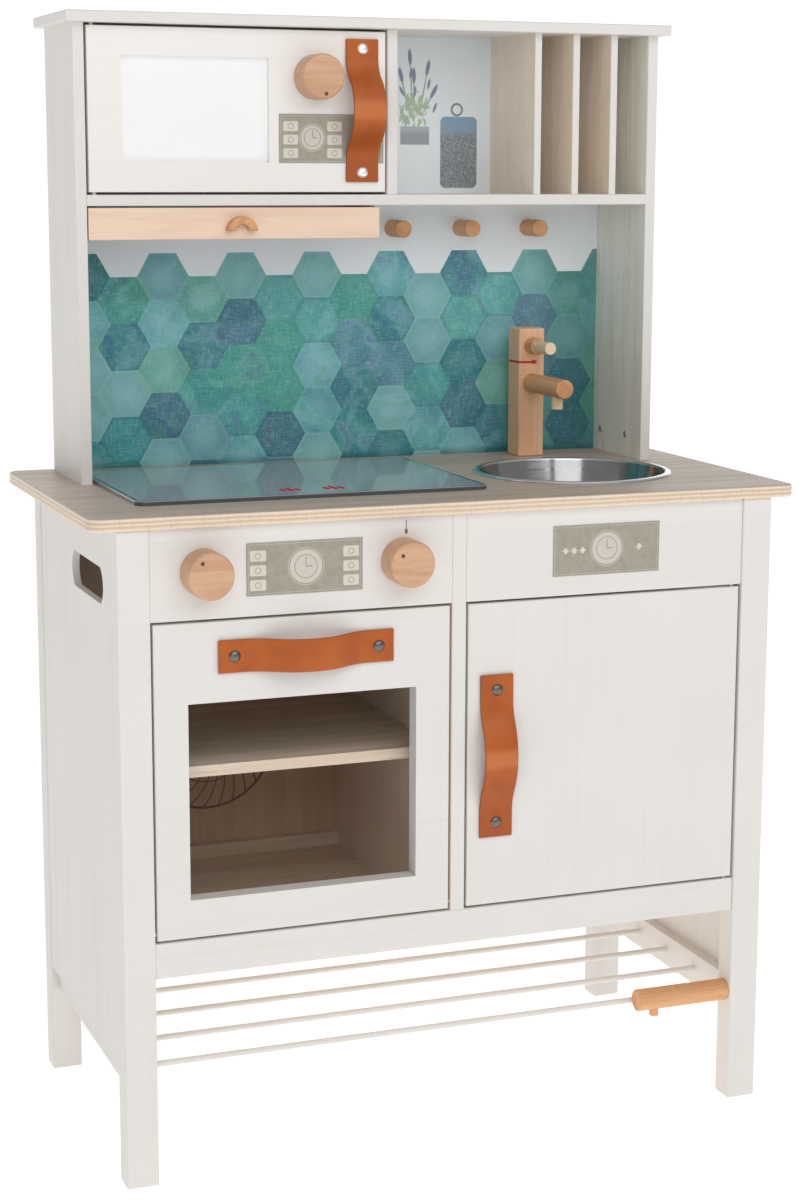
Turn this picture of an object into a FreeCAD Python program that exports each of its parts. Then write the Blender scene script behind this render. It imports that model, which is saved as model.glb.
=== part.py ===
import FreeCAD, Part
import math
import os
import re
import Sketcher

# Wooden play kitchen: an open cabinet on four legs with an oven, a cupboard and a dowel rack,
# a worktop with hob, sink and tap, and a hutch with microwave, niche and plate rack.
# Millimetres, +Z up, front facing -Y, origin at the centre of the footprint on the floor.

V = FreeCAD.Vector
doc = FreeCAD.newDocument("PlayKitchen")
sheet = doc.addObject("Spreadsheet::Sheet", "Dims")

DIMENSIONS = [
    # worktop and base frame
    ("total_depth", 324), ("worktop_width", 600), ("worktop_depth", 306), ("worktop_thick", 10),
    ("worktop_top", 535), ("worktop_corner", 12), ("front_overhang", 4), ("rear_overhang", 10),
    ("leg_outer", 279), ("leg_width", 26), ("leg_depth", 23), ("board", 9), ("face_recess", 2),
    ("partition_thick", 12), ("fascia_bottom", 453), ("apron_top", 198.5), ("apron_bottom", 170),
    ("panel_thick", 6), ("panel_recess", 1), ("panel_bottom", 96.5), ("back_thick", 3),
    ("back_front", 145.5), ("side_rail_thick", 10), ("side_rail_bottom", 75), ("side_rail_high", 28),
    # hand hole in each side panel
    ("grip_centre", -40), ("grip_length", 88), ("grip_height", 29), ("grip_bottom", 460), ("grip_bow", 9),
    # dowel rack and towel peg
    ("rack_dowel", 5), ("rack_first", -111), ("rack_pitch", 54.5), ("rack_height", 90), ("rack_socket", 5),
    ("towel_dia", 18.5), ("towel_length", 84), ("towel_height", 96), ("towel_tenon", 12),
    ("towel_pin_dia", 8), ("towel_pin_out", 5.5), ("towel_pin_inset", 17),
    # oven inside
    ("oven_shelf_front", -105), ("oven_shelf_bottom", 320.5), ("batten", 10), ("batten_high", 12),
    # doors
    ("door_gap", 2), ("door_thick", 15), ("pivot_in", 5), ("pivot_back", 4.5), ("pin_dia", 4),
    ("pin_frame", 6), ("pin_door", 12), ("turn_clear", 0.05),
    ("oven_window_left", -224), ("oven_window_right", -36.5),
    ("oven_window_bottom", 231), ("oven_window_top", 387.5),
    # hutch
    ("hutch_outer", 260.5), ("hutch_thick", 9.5), ("hutch_front", 50), ("hutch_rear", 154),
    ("roof_bottom", 907), ("roof_thick", 9), ("roof_outer", 268), ("roof_front", 39),
    ("shelf_bottom", 762), ("splash_front", 148.5), ("oven_divider_left", 8),
    ("rack_slot", 29.5), ("rack_board", 6.5), ("microwave_thick", 9),
    ("window_left", -221), ("window_right", -96.5), ("window_bottom", 797), ("window_top", 882),
    ("pane_thick", 2), ("plate_thick", 0.6),
    # extractor hood
    ("visor_left", -250), ("visor_right", 1), ("visor_bottom", 734.5), ("visor_top", 760.5),
    ("visor_thick", 10), ("tray_thick", 4), ("tray_bottom", 750), ("tray_rear", 140),
    ("runner_wide", 10), ("runner_bottom", 742), ("runner_grip", 6), ("slide_clear", 0.3),
    # knobs and pegs
    ("knob_dia", 37), ("knob_long", 24), ("knob_round", 2.5), ("shank_dia", 8), ("shank_out", 4),
    ("oven_knob_offset", 81.25), ("oven_knob_height", 490),
    ("microwave_knob_across", -56.5), ("microwave_knob_height", 867),
    ("peg_dia", 15), ("peg_long", 30), ("peg_first", 49), ("peg_pitch", 65.75), ("peg_height", 740),
    # hob, sink and tap
    ("hob_left", -248.5), ("hob_right", 47.5), ("hob_front", -86), ("hob_rear", 114),
    ("hob_thick", 3.5), ("hob_corner", 9), ("box_centre_across", -100), ("box_centre_back", 14),
    ("box_wide", 120), ("box_deep", 80), ("box_down", 32), ("cutout_clear", 0.6),
    ("sink_across", 159), ("sink_back", -3), ("sink_rim", 86), ("sink_hole", 82), ("sink_wall", 81.2),
    ("sink_sheet", 1), ("sink_deep", 55), ("sink_base", 58), ("sink_rim_rise", 2.2),
    ("tap_across", 169), ("tap_front", 108), ("tap_width", 25), ("tap_high", 116),
    ("spout_dia", 17), ("spout_long", 73), ("spout_height", 602), ("spout_socket", 12),
    ("outlet_dia", 10), ("outlet_inset", 16.5), ("outlet_down", 10),
    ("lever_dia", 15), ("lever_hub", 15), ("lever_height", 635.5), ("lever_gap", 0.3),
    ("lever_pin_dia", 11), ("lever_reach", 41), ("lever_shank", 6), ("lever_socket", 12),
    # leather pulls
    ("pull_wide", 26), ("pull_band", 7), ("pull_rise", 9), ("pull_drop", 7), ("soft_pull", 1.5),
    ("pull_tenon_dia", 5), ("pull_tenon_long", 6),
    ("strap_thick", 3), ("rivet_dia", 9.5), ("rivet_rise", 2), ("rivet_shank", 4), ("rivet_deep", 5),
    # softened edges
    ("soft_leg", 1.6), ("soft_board", 0.9), ("soft_top", 1.5), ("soft_peg", 0.8),
]
for row, (alias, value) in enumerate(DIMENSIONS, start=1):
    sheet.set("A%d" % row, alias)
    sheet.set("B%d" % row, str(value))
    sheet.setAlias("B%d" % row, alias)
doc.recompute()

SIZE = {alias: float(value) for alias, value in DIMENSIONS}
ALIAS = re.compile(r"\b(%s)\b" % "|".join(sorted(SIZE, key=len, reverse=True)))

# Places that several pieces share, written in the sheet's names.
WORK_UNDER = "(worktop_top - worktop_thick)"
REAR = "(total_depth / 2)"
WORK_FRONT = "(total_depth / 2 - worktop_depth)"
LEG_FRONT = "(total_depth / 2 - worktop_depth + front_overhang)"
LEG_REAR = "(total_depth / 2 - rear_overhang)"
LEG_IN = "(leg_outer - leg_width)"
BAY_FRONT = "(total_depth / 2 - worktop_depth + front_overhang + leg_depth)"
BAY_REAR = "(total_depth / 2 - rear_overhang - leg_depth)"
FACE = "(total_depth / 2 - worktop_depth + front_overhang + face_recess)"
FACE_BACK = "(total_depth / 2 - worktop_depth + front_overhang + face_recess + board)"
FLOOR_TOP = "(apron_bottom + board)"
PANEL_IN = "(leg_outer - panel_recess - panel_thick)"
STILE = "(partition_thick / 2)"
HUTCH_IN = "(hutch_outer - hutch_thick)"
SHELF_TOP = "(shelf_bottom + board)"
DIVIDER_RIGHT = "(oven_divider_left + board)"


WORKED_OUT = {}


def value(expression):
    """Number that an expression in the sheet's names works out to, found in a cell of the sheet."""
    text = str(expression)
    if text not in WORKED_OUT:
        cell = "D%d" % (len(WORKED_OUT) + 1)
        sheet.set(cell, "=" + text)
        sheet.recompute()
        found = sheet.get(cell)
        WORKED_OUT[text] = float(getattr(found, "Value", found))
    return WORKED_OUT[text]


def to_sheet(expression):
    """Turn bare dimension names into references to the spreadsheet."""
    return ALIAS.sub(lambda word: "Dims." + word.group(0), str(expression))


def bind(obj, **properties):
    """Bind properties to expressions; a double underscore stands for a dot."""
    for name, expression in properties.items():
        obj.setExpression(name.replace("__", "."), to_sheet(expression))


def place(obj, x, y, z):
    bind(obj, Placement__Base__x=x, Placement__Base__y=y, Placement__Base__z=z)


def block(name, x, y, z):
    """Box between a low and a high expression on each axis."""
    obj = doc.addObject("Part::Box", name)
    bind(obj, Length="(%s) - (%s)" % (x[1], x[0]), Width="(%s) - (%s)" % (y[1], y[0]),
         Height="(%s) - (%s)" % (z[1], z[0]))
    place(obj, x[0], y[0], z[0])
    return obj


TURNS = {"z": FreeCAD.Rotation(), "x": FreeCAD.Rotation(V(0, 1, 0), 90),
         "y": FreeCAD.Rotation(V(1, 0, 0), -90), "-z": FreeCAD.Rotation(V(1, 0, 0), 180)}


def dowel(name, along, start, diameter, length):
    """Cylinder that starts at a point and runs along x, y, z or -z."""
    obj = doc.addObject("Part::Cylinder", name)
    obj.Placement = FreeCAD.Placement(V(), TURNS[along])
    bind(obj, Radius="(%s) / 2" % diameter, Height=length)
    place(obj, *start)
    return obj


def fuse(name, *parts):
    obj = doc.addObject("Part::MultiFuse", name)
    obj.Shapes = list(parts)
    return obj


def cut(name, base, *tools):
    obj = doc.addObject("Part::Cut", name)
    obj.Base = base
    obj.Tool = tools[0] if len(tools) == 1 else fuse(name + "_tools", *tools)
    return obj


def group(name, *parts):
    """Several separate solids kept as one node."""
    obj = doc.addObject("Part::Compound", name)
    obj.Links = list(parts)
    return obj


def soften(name, base, radius, wanted=lambda edge: True):
    """Round the chosen straight edges of a base object."""
    doc.recompute()
    obj = doc.addObject("Part::Fillet", name)
    obj.Base = base
    size = SIZE[radius]
    obj.Edges = [(index, size, size) for index, edge in enumerate(base.Shape.Edges, start=1)
                 if wanted(edge)]
    return obj


def straight(axis):
    """Edges that run along one axis."""
    def test(edge):
        direction = edge.Vertexes[-1].Point - edge.Vertexes[0].Point
        return direction.Length > 1 and abs(abs(direction.normalize()[axis]) - 1) < 1e-6
    return test


NODES = []


def node(obj, label):
    obj.Label = label
    NODES.append(obj)
    return obj


def mirrored(low, high, side):
    """A low and high x pair for the right side, turned over for the left."""
    return (low, high) if side == "right" else ("-(%s)" % high, "-(%s)" % low)


# --- parametric bodies made from sketches -------------------------------------------------------

def plane_of(body, role):
    return next(f for f in body.Origin.OriginFeatures if f.Role == role)


def sketch_on(body, role, name):
    sketch = body.newObject("Sketcher::SketchObject", name)
    sketch.AttachmentSupport = (plane_of(body, role), [""])
    sketch.MapMode = "FlatFace"
    return sketch


def draw_rectangle(sketch, left, bottom, width, height):
    """Rectangle in the sketch's first quadrant whose four sizes follow the sheet."""
    x0, y0, w, h = (value(e) for e in (left, bottom, width, height))
    corners = [V(x0, y0), V(x0 + w, y0), V(x0 + w, y0 + h), V(x0, y0 + h)]
    first = sketch.GeometryCount
    for index in range(4):
        sketch.addGeometry(Part.LineSegment(corners[index], corners[(index + 1) % 4]), False)
    for index in range(4):
        sketch.addConstraint(Sketcher.Constraint("Coincident", first + index, 2,
                                                 first + (index + 1) % 4, 1))
    for line, kind in ((0, "Horizontal"), (1, "Vertical"), (2, "Horizontal"), (3, "Vertical")):
        sketch.addConstraint(Sketcher.Constraint(kind, first + line))
    sizes = [("DistanceX", (first, 1, first, 2), w, width),
             ("DistanceY", (first + 1, 1, first + 1, 2), h, height)]
    if x0 > 0:
        sizes.append(("DistanceX", (-1, 1, first, 1), x0, left))
    if y0 > 0:
        sizes.append(("DistanceY", (-1, 1, first, 1), y0, bottom))
    for kind, where, number, expression in sizes:
        index = sketch.addConstraint(Sketcher.Constraint(kind, *where, number))
        sketch.setExpression("Constraints[%d]" % index, to_sheet(expression))


def draw_outline(sketch, edges):
    """Closed outline from lines and arcs, each joined to the next."""
    first = sketch.GeometryCount
    for edge in edges:
        sketch.addGeometry(edge, False)
    return first


def pad(body, sketch, length, backwards=False):
    feature = body.newObject("PartDesign::Pad", "Pad")
    feature.Profile = sketch
    feature.Reversed = backwards
    bind(feature, Length=length)
    return feature


def pocket_through(body, sketch):
    """Cut a sketch through the whole body, whichever way the sketch faces."""
    doc.recompute()
    before = body.Shape.Volume
    feature = body.newObject("PartDesign::Pocket", "Pocket")
    feature.Profile = sketch
    feature.Type = "ThroughAll"
    feature.Midplane = True
    doc.recompute()
    if not body.Shape.Volume < before - 1:
        raise ValueError("the pocket in %s cuts nothing" % body.Label)
    return feature


def turned(label, profile, position, role="XY_Plane", axis_role="Y_Axis"):
    """Body turned from a half profile about the sketch's vertical axis."""
    body = doc.addObject("PartDesign::Body", label)
    sketch = sketch_on(body, role, label + "_profile")
    draw_outline(sketch, profile)
    feature = body.newObject("PartDesign::Revolution", "Revolution")
    feature.Profile = sketch
    feature.ReferenceAxis = (sketch, ["V_Axis"])
    feature.Angle = 360
    place(body, *position)
    return body


def lines(points):
    return [Part.LineSegment(V(*a), V(*b)) for a, b in zip(points, points[1:])]


# --- base frame ---------------------------------------------------------------------------------

def legs():
    for depth, low, high in (("front", LEG_FRONT, BAY_FRONT), ("rear", BAY_REAR, LEG_REAR)):
        for side in ("left", "right"):
            name = "leg_%s_%s" % (depth, side)
            post = block(name + "_stock", mirrored(LEG_IN, "leg_outer", side), (low, high),
                         ("0", WORK_UNDER))
            post = soften(name + "_round", post, "soft_leg")
            if name == "leg_front_left":
                post = cut(name + "_bored", post, oven_pin("left_bore", "left"))
            if name == "leg_front_right":
                socket = dowel("towel_socket", "x", (LEG_IN, towel_axis(), "towel_height"),
                               "towel_pin_dia", "towel_tenon")
                post = cut(name + "_bored", post, socket)
            node(post, name)


def side_panels():
    """Panels between the legs, each with a hand hole whose ends bow outwards."""
    for side in ("left", "right"):
        name = "side_panel_" + side
        body = doc.addObject("PartDesign::Body", name)
        board = sketch_on(body, "YZ_Plane", name + "_outline")
        draw_rectangle(board, "0", "0", "%s - %s" % (BAY_REAR, BAY_FRONT),
                       "%s - panel_bottom" % WORK_UNDER)
        pad(body, board, "panel_thick")
        hole = sketch_on(body, "YZ_Plane", name + "_grip")
        middle = value("grip_centre - %s" % BAY_FRONT)
        half, bow = SIZE["grip_length"] / 2, SIZE["grip_bow"]
        low = value("grip_bottom - panel_bottom")
        high = low + SIZE["grip_height"]
        centre = (low + high) / 2
        a, b = V(middle - half, low), V(middle + half, low)
        c, d = V(middle + half, high), V(middle - half, high)
        draw_outline(hole, [Part.LineSegment(a, b),
                            Part.Arc(b, V(middle + half + bow, centre), c),
                            Part.LineSegment(c, d),
                            Part.Arc(d, V(middle - half - bow, centre), a)])
        pocket_through(body, hole)
        inner = PANEL_IN if side == "right" else "-(leg_outer - panel_recess)"
        place(body, inner, BAY_FRONT, "panel_bottom")
        node(body, name)


def side_rails():
    """Lower rails between the legs, bored for the rack dowels."""
    for side in ("left", "right"):
        name = "lower_rail_" + side
        inner = "%s - side_rail_thick" % PANEL_IN
        rail = block(name + "_stock", mirrored(inner, PANEL_IN, side), (BAY_FRONT, BAY_REAR),
                     ("side_rail_bottom", "side_rail_bottom + side_rail_high"))
        start = inner if side == "right" else "-(%s) - rack_socket" % inner
        sockets = [dowel("%s_socket_%d" % (name, n), "x", (start, rack_place(n), "rack_height"),
                         "rack_dowel", "rack_socket") for n in range(5)]
        node(cut(name, rail, *sockets), name)


def rack_place(index):
    return "rack_first + %d * rack_pitch" % index


def towel_axis():
    return "(%s + leg_depth / 2)" % LEG_FRONT


def rack():
    reach = "(%s - side_rail_thick + rack_socket)" % PANEL_IN
    rods = [dowel("rack_rod_%d" % n, "x", ("-" + reach, rack_place(n), "rack_height"),
                  "rack_dowel", "2 * " + reach) for n in range(5)]
    node(group("rack_rods", *rods), "rack_rods")


def towel_peg():
    """Peg that points inwards from the front right leg, with a small stop pin under its free end."""
    end = "(%s - towel_length)" % LEG_IN
    bar = dowel("towel_bar", "x", (end, towel_axis(), "towel_height"), "towel_dia", "towel_length")
    bar = soften("towel_bar_round", bar, "soft_peg")
    tenon = dowel("towel_tenon_dowel", "x", (LEG_IN, towel_axis(), "towel_height"),
                  "towel_pin_dia", "towel_tenon")
    whole = fuse("towel_peg_turned", bar, tenon)
    top = "towel_height - towel_dia / 4"
    stop_place = ("%s + towel_pin_inset" % end, towel_axis(), top)
    length = "towel_dia / 4 + towel_pin_out"
    bore = dowel("towel_pin_bore", "-z", stop_place, "towel_pin_dia", length)
    pin = dowel("towel_pin", "-z", stop_place, "towel_pin_dia", length)
    node(group("towel_peg", cut("towel_peg_bored", whole, bore), pin), "towel_peg")


def worktop():
    body = doc.addObject("PartDesign::Body", "worktop")
    outline = sketch_on(body, "XY_Plane", "worktop_outline")
    draw_rectangle(outline, "0", "0", "worktop_width", "worktop_depth")
    pad(body, outline, "worktop_thick")
    hole = sketch_on(body, "XY_Plane", "worktop_sink_hole")
    centre = V(value("worktop_width / 2 + sink_across"), value("sink_back - %s" % WORK_FRONT))
    hole.addGeometry(Part.Circle(centre, V(0, 0, 1), SIZE["sink_hole"]), False)
    index = hole.addConstraint(Sketcher.Constraint("Radius", 0, SIZE["sink_hole"]))
    hole.setExpression("Constraints[%d]" % index, to_sheet("sink_hole"))
    pocket_through(body, hole)
    slot = sketch_on(body, "XY_Plane", "worktop_hob_hole")
    draw_rectangle(slot, "worktop_width / 2 + box_centre_across - box_wide / 2 - cutout_clear",
                   "box_centre_back - box_deep / 2 - cutout_clear - %s" % WORK_FRONT,
                   "box_wide + 2 * cutout_clear", "box_deep + 2 * cutout_clear")
    pocket_through(body, slot)
    wide, deep, pierced = SIZE["worktop_width"], SIZE["worktop_depth"], body.Tip
    corners = body.newObject("PartDesign::Fillet", "CornerFillet")
    corners.Base = (pierced, edge_names(body, lambda edge: straight(2)(edge) and any(
        (edge.Vertexes[0].Point - V(x, y, edge.Vertexes[0].Z)).Length < 0.1
        for x in (0, wide) for y in (0, deep))))
    bind(corners, Radius="worktop_corner")
    doc.recompute()
    rim = body.newObject("PartDesign::Fillet", "EdgeFillet")
    rim.Base = (corners, edge_names(body, lambda edge: edge.BoundBox.ZLength < 1e-6 and (
        edge.BoundBox.YMin < 0.1 or edge.BoundBox.YMax > deep - 0.1
        or edge.BoundBox.XMin < 0.1 or edge.BoundBox.XMax > wide - 0.1)))
    bind(rim, Radius="soft_top")
    place(body, "-worktop_width / 2", WORK_FRONT, WORK_UNDER)
    node(body, "worktop")


def edge_names(body, wanted):
    return ["Edge%d" % index for index, edge in enumerate(body.Shape.Edges, start=1) if wanted(edge)]


def fascias():
    """Fixed fronts over the oven and the cupboard; the left one carries two knobs."""
    for side, x in (("left", ("-" + LEG_IN, "-" + STILE)), ("right", (STILE, LEG_IN))):
        name = "fascia_" + side
        board = block(name + "_stock", x, (FACE, FACE_BACK), ("fascia_bottom", WORK_UNDER))
        board = soften(name + "_round", board, "soft_board")
        if side == "left":
            bores = [shank_bore("oven_bore_%d" % n, oven_knob_across(n), FACE, "oven_knob_height", "board")
                     for n in (0, 1)]
            board = cut(name, board, *bores)
        else:
            board = cut(name, board, cupboard_pin("top_bore", "top"))
        node(board, name)


def oven_knob_across(index):
    middle = "(-(%s + %s) / 2)" % (LEG_IN, STILE)
    return "%s %s oven_knob_offset" % (middle, "-" if index == 0 else "+")


def shank_bore(name, x, y, z, length):
    return dowel(name, "y", (x, y, z), "(shank_dia + 2 * turn_clear)", length)


def partition():
    """Centre wall whose front edge shows as the stile between the two doors."""
    wall = block("partition_stock", ("-" + STILE, STILE), (FACE, "back_front"), (FLOOR_TOP, WORK_UNDER))
    notch = block("partition_notch", ("-" + STILE, STILE), (FACE, FACE_BACK), (FLOOR_TOP, "apron_top"))
    wall = cut("partition_notched", wall, notch)
    wall = soften("partition_round", wall, "soft_board", lambda edge: straight(2)(edge)
                  and abs(edge.Vertexes[0].Y - value(FACE)) < 0.1)
    node(cut("centre_partition", wall, oven_pin("right_bore", "right")), "centre_partition")


def apron():
    board = block("apron_stock", ("-" + LEG_IN, LEG_IN), (FACE, FACE_BACK), ("apron_bottom", "apron_top"))
    board = soften("apron_round", board, "soft_board")
    node(cut("front_apron", board, cupboard_pin("bottom_bore", "bottom")), "front_apron")


def notched_board(label, x_low, x_in, x_high, y_low, y_notch, y_notch_rear, y_high, z_low, both):
    """Horizontal board with its corners cut out round the legs."""
    body = doc.addObject("PartDesign::Body", label)
    sketch = sketch_on(body, "XY_Plane", label + "_outline")
    x0, x1, x2 = value(x_low), value(x_in), value(x_high)
    y0, y1, y2, y3 = value(y_low), value(y_notch), value(y_notch_rear), value(y_high)
    if both:
        points = [(x1, y0), (-x1, y0), (-x1, y1), (-x0, y1), (-x0, y2), (-x1, y2), (-x1, y3),
                  (x1, y3), (x1, y2), (x0, y2), (x0, y1), (x1, y1), (x1, y0)]
    else:
        points = [(x0, y0), (x2, y0), (x2, y3), (x1, y3), (x1, y2), (x0, y2), (x0, y0)]
    draw_outline(sketch, lines([(x, y, 0) for x, y in points]))
    pad(body, sketch, "board")
    place(body, "0", "0", z_low)
    return body


def shelves():
    floor = notched_board("cabinet_floor", "-" + PANEL_IN, "-" + LEG_IN, PANEL_IN, FACE_BACK, BAY_FRONT,
                          BAY_REAR, "back_front", "apron_bottom", True)
    node(floor, "cabinet_floor")
    shelf = notched_board("oven_shelf", "-" + PANEL_IN, "-" + LEG_IN, "-" + STILE, "oven_shelf_front",
                          "oven_shelf_front", BAY_REAR, "back_front", "oven_shelf_bottom", False)
    node(shelf, "oven_shelf")
    under = ("oven_shelf_bottom - batten_high", "oven_shelf_bottom")
    span = ("oven_shelf_front + batten", BAY_REAR)
    battens = [block("batten_left", ("-" + PANEL_IN, "-%s + batten" % PANEL_IN), span, under),
               block("batten_right", ("-%s - batten" % STILE, "-" + STILE), span, under),
               block("batten_rear", ("-" + LEG_IN, "-" + STILE), ("back_front - batten", "back_front"),
                     (FLOOR_TOP, "%s + batten_high" % FLOOR_TOP))]
    node(group("shelf_battens", *battens), "shelf_battens")


def lower_back():
    node(block("lower_back_panel", ("-" + LEG_IN, LEG_IN), ("back_front", "back_front + back_thick"),
               ("apron_bottom", WORK_UNDER)), "lower_back_panel")


# --- doors --------------------------------------------------------------------------------------

PIVOT_FACE = "(%s + pivot_back)" % FACE
PIVOT_OVEN = "(apron_top + door_gap + pivot_in)"
PIVOT_CUPBOARD = "(%s - door_gap - pivot_in)" % LEG_IN
PIVOT_MICROWAVE = "(-%s + door_gap + pivot_in)" % HUTCH_IN
PIVOT_HUTCH = "(hutch_front + pivot_back)"
PIN_LENGTH = "(pin_frame + door_gap + pin_door)"


def oven_pin(name, side, diameter="pin_dia"):
    """Horizontal pin from the frame into the oven door's lower corner."""
    start = "-%s - pin_frame" % LEG_IN if side == "left" else "-%s - door_gap - pin_door" % STILE
    return dowel("oven_pin_" + name, "x", (start, PIVOT_FACE, PIVOT_OVEN), diameter, PIN_LENGTH)


def cupboard_pin(name, end, diameter="pin_dia"):
    start = "apron_top - pin_frame" if end == "bottom" else "fascia_bottom - door_gap - pin_door"
    return dowel("cupboard_pin_" + name, "z", (PIVOT_CUPBOARD, PIVOT_FACE, start), diameter, PIN_LENGTH)


def microwave_pin(name, end, diameter="pin_dia"):
    start = SHELF_TOP + " - pin_frame" if end == "bottom" else "roof_bottom - door_gap - pin_door"
    return dowel("microwave_pin_" + name, "z", (PIVOT_MICROWAVE, PIVOT_HUTCH, start), diameter, PIN_LENGTH)


def hinge_pins():
    pins = [oven_pin("left", "left"), oven_pin("right", "right"), cupboard_pin("bottom", "bottom"),
            cupboard_pin("top", "top"), microwave_pin("bottom", "bottom"), microwave_pin("top", "top")]
    node(group("hinge_pins", *pins), "hinge_pins")


RUNNING = "(pin_dia + 2 * turn_clear)"


def door_leaf(label, x, y, z, window=None):
    """Door board with softened edges and an optional window hole."""
    leaf = block(label + "_leaf", x, y, z)
    if window:
        hole = block(label + "_window_hole", window[0], y, window[1])
        leaf = cut(label + "_pierced", leaf, hole)
    low, high = value(y[0]), value(y[1])
    front = [value(e) for e in (x[0], x[1], z[0], z[1])]

    def outer_front(edge):
        box = edge.BoundBox
        if box.YMax > low + 0.01:
            return False
        return (abs(box.XMax - front[0]) < 0.01 or abs(box.XMin - front[1]) < 0.01
                or abs(box.ZMax - front[2]) < 0.01 or abs(box.ZMin - front[3]) < 0.01)
    return soften(label + "_round", leaf, "soft_board", outer_front)


def strap(label, width, length, bulge, flat, placement):
    """Leather pull: flat ends and a bow of three tangent arcs, padded to its width."""
    body = doc.addObject("PartDesign::Body", label + "_leather")
    sketch = sketch_on(body, "XY_Plane", label + "_profile")
    thick = SIZE["strap_thick"]
    run = length / 2 - flat
    angle = 2 * math.atan(bulge / run)
    total = run / math.sin(angle)
    foot, crown = 0.42 * total, 0.58 * total

    def side(offset):
        """Half line at an offset outwards: the flat end, the foot arc and the crown arc."""
        r_foot, r_crown = foot - offset, crown + offset
        centre = V(flat, foot)
        top = V(length / 2, bulge - crown)
        a, b = V(0, offset), V(flat, offset)
        c = centre + V(math.sin(angle), -math.cos(angle)) * r_foot
        mid_foot = centre + V(math.sin(angle / 2), -math.cos(angle / 2)) * r_foot
        return a, b, mid_foot, c, top, r_crown

    def flip(point):
        return V(length - point.x, point.y)
    edges = []
    for offset in (0.0, thick):
        a, b, m, c, top, radius = side(offset)
        edges += [Part.LineSegment(a, b), Part.Arc(b, m, c), Part.Arc(c, top + V(0, radius), flip(c)),
                  Part.Arc(flip(c), flip(m), flip(b)), Part.LineSegment(flip(b), flip(a))]
    edges += [Part.LineSegment(V(0, 0), V(0, thick)), Part.LineSegment(V(length, 0), V(length, thick))]
    draw_outline(sketch, edges)
    feature = pad(body, sketch, width)
    feature.Midplane = True
    body.Placement = placement
    return body


def rivets(label, points, face):
    """Domed rivets through the ends of a strap, and the bores they leave."""
    studs, bores = [], []
    head, rise, stem = SIZE["rivet_dia"] / 2, SIZE["rivet_rise"], SIZE["rivet_shank"] / 2
    end = -SIZE["strap_thick"] - SIZE["rivet_deep"]
    profile = lines([(0, end, 0), (stem, end, 0), (stem, 0, 0), (head, 0, 0)])
    profile.append(Part.Arc(V(head, 0), V(head * 0.66, rise * 0.7), V(head * 0.2, rise)))
    profile += lines([(head * 0.2, rise, 0), (0, rise, 0), (0, end, 0)])
    for index, (x, z) in enumerate(points):
        outer = "%s - strap_thick" % face
        name = "%s_%d" % (label, index)
        depth = "strap_thick + rivet_deep"
        studs.append(turned(name, profile, (x, outer, z)))
        studs[-1].Placement.Rotation = FreeCAD.Rotation(V(1, 0, 0), 180)
        bores.append(dowel(name + "_bore", "y", (x, outer, z), "rivet_shank", depth))
    node(group(label, *studs), label)
    return bores


def turn_to(x_axis, y_axis):
    """Rotation that carries a sketch's x and y directions to the given ones."""
    return FreeCAD.Rotation(V(*x_axis), V(*y_axis), V(), "XYZ")


UPRIGHT = turn_to((0, 0, 1), (0, -1, 0))
LEVEL = turn_to((1, 0, 0), (0, -1, 0))


def oven_door():
    x = ("-%s + door_gap" % LEG_IN, "-%s - door_gap" % STILE)
    z = ("apron_top + door_gap", "fascia_bottom - door_gap")
    leaf = door_leaf("oven_door", x, (FACE, FACE + " + door_thick"), z,
                     (("oven_window_left", "oven_window_right"), ("oven_window_bottom", "oven_window_top")))
    left, right, height, inset = -200.0, -56.5, 423.3, 12.7
    bores = rivets("oven_rivets", [(left + inset, height), (right - inset, height)], FACE)
    leather = strap("oven_strap", "26", right - left, 17, 20,
                    FreeCAD.Placement(V(left, value(FACE), height), LEVEL))
    finish_door("oven_door", leaf, "oven_strap", leather, bores,
                [oven_pin("left_run", "left", RUNNING), oven_pin("right_run", "right", RUNNING)])


def cabinet_door():
    x = (STILE + " + door_gap", LEG_IN + " - door_gap")
    z = ("apron_top + door_gap", "fascia_bottom - door_gap")
    leaf = door_leaf("cabinet_door", x, (FACE, FACE + " + door_thick"), z)
    across, low, high, inset = 32.4, 257.5, 392.5, 12.5
    bores = rivets("cabinet_rivets", [(across, low + inset), (across, high - inset)], FACE)
    leather = strap("cabinet_strap", "28.5", high - low, 12, 20,
                    FreeCAD.Placement(V(across, value(FACE), low), UPRIGHT))
    finish_door("cabinet_door", leaf, "cabinet_strap", leather, bores,
                [cupboard_pin("bottom_run", "bottom", RUNNING), cupboard_pin("top_run", "top", RUNNING)])


def microwave_door():
    x = ("-%s + door_gap" % HUTCH_IN, "oven_divider_left - door_gap")
    z = (SHELF_TOP + " + door_gap", "roof_bottom - door_gap")
    window = (("window_left", "window_right"), ("window_bottom", "window_top"))
    leaf = door_leaf("microwave_door", x, ("hutch_front", "hutch_front + microwave_thick"), z, window)
    across, low, high, inset = -15.4, 781.4, 898.7, 8.0
    bores = rivets("microwave_rivets", [(across, low + inset), (across, high - inset)], "hutch_front")
    leather = strap("microwave_strap", "28.5", high - low, 21, 15,
                    FreeCAD.Placement(V(across, SIZE["hutch_front"], low), UPRIGHT))
    knob = shank_bore("microwave_knob_bore", "microwave_knob_across", "hutch_front",
                      "microwave_knob_height", "microwave_thick")
    finish_door("microwave_door", leaf, "microwave_strap", leather, bores,
                [microwave_pin("bottom_run", "bottom", RUNNING),
                 microwave_pin("top_run", "top", RUNNING), knob])
    rear = "hutch_front + microwave_thick"
    node(block("microwave_window", window[0], (rear + " - pane_thick - pane_thick", rear + " - pane_thick"),
               window[1]), "microwave_window")


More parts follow.
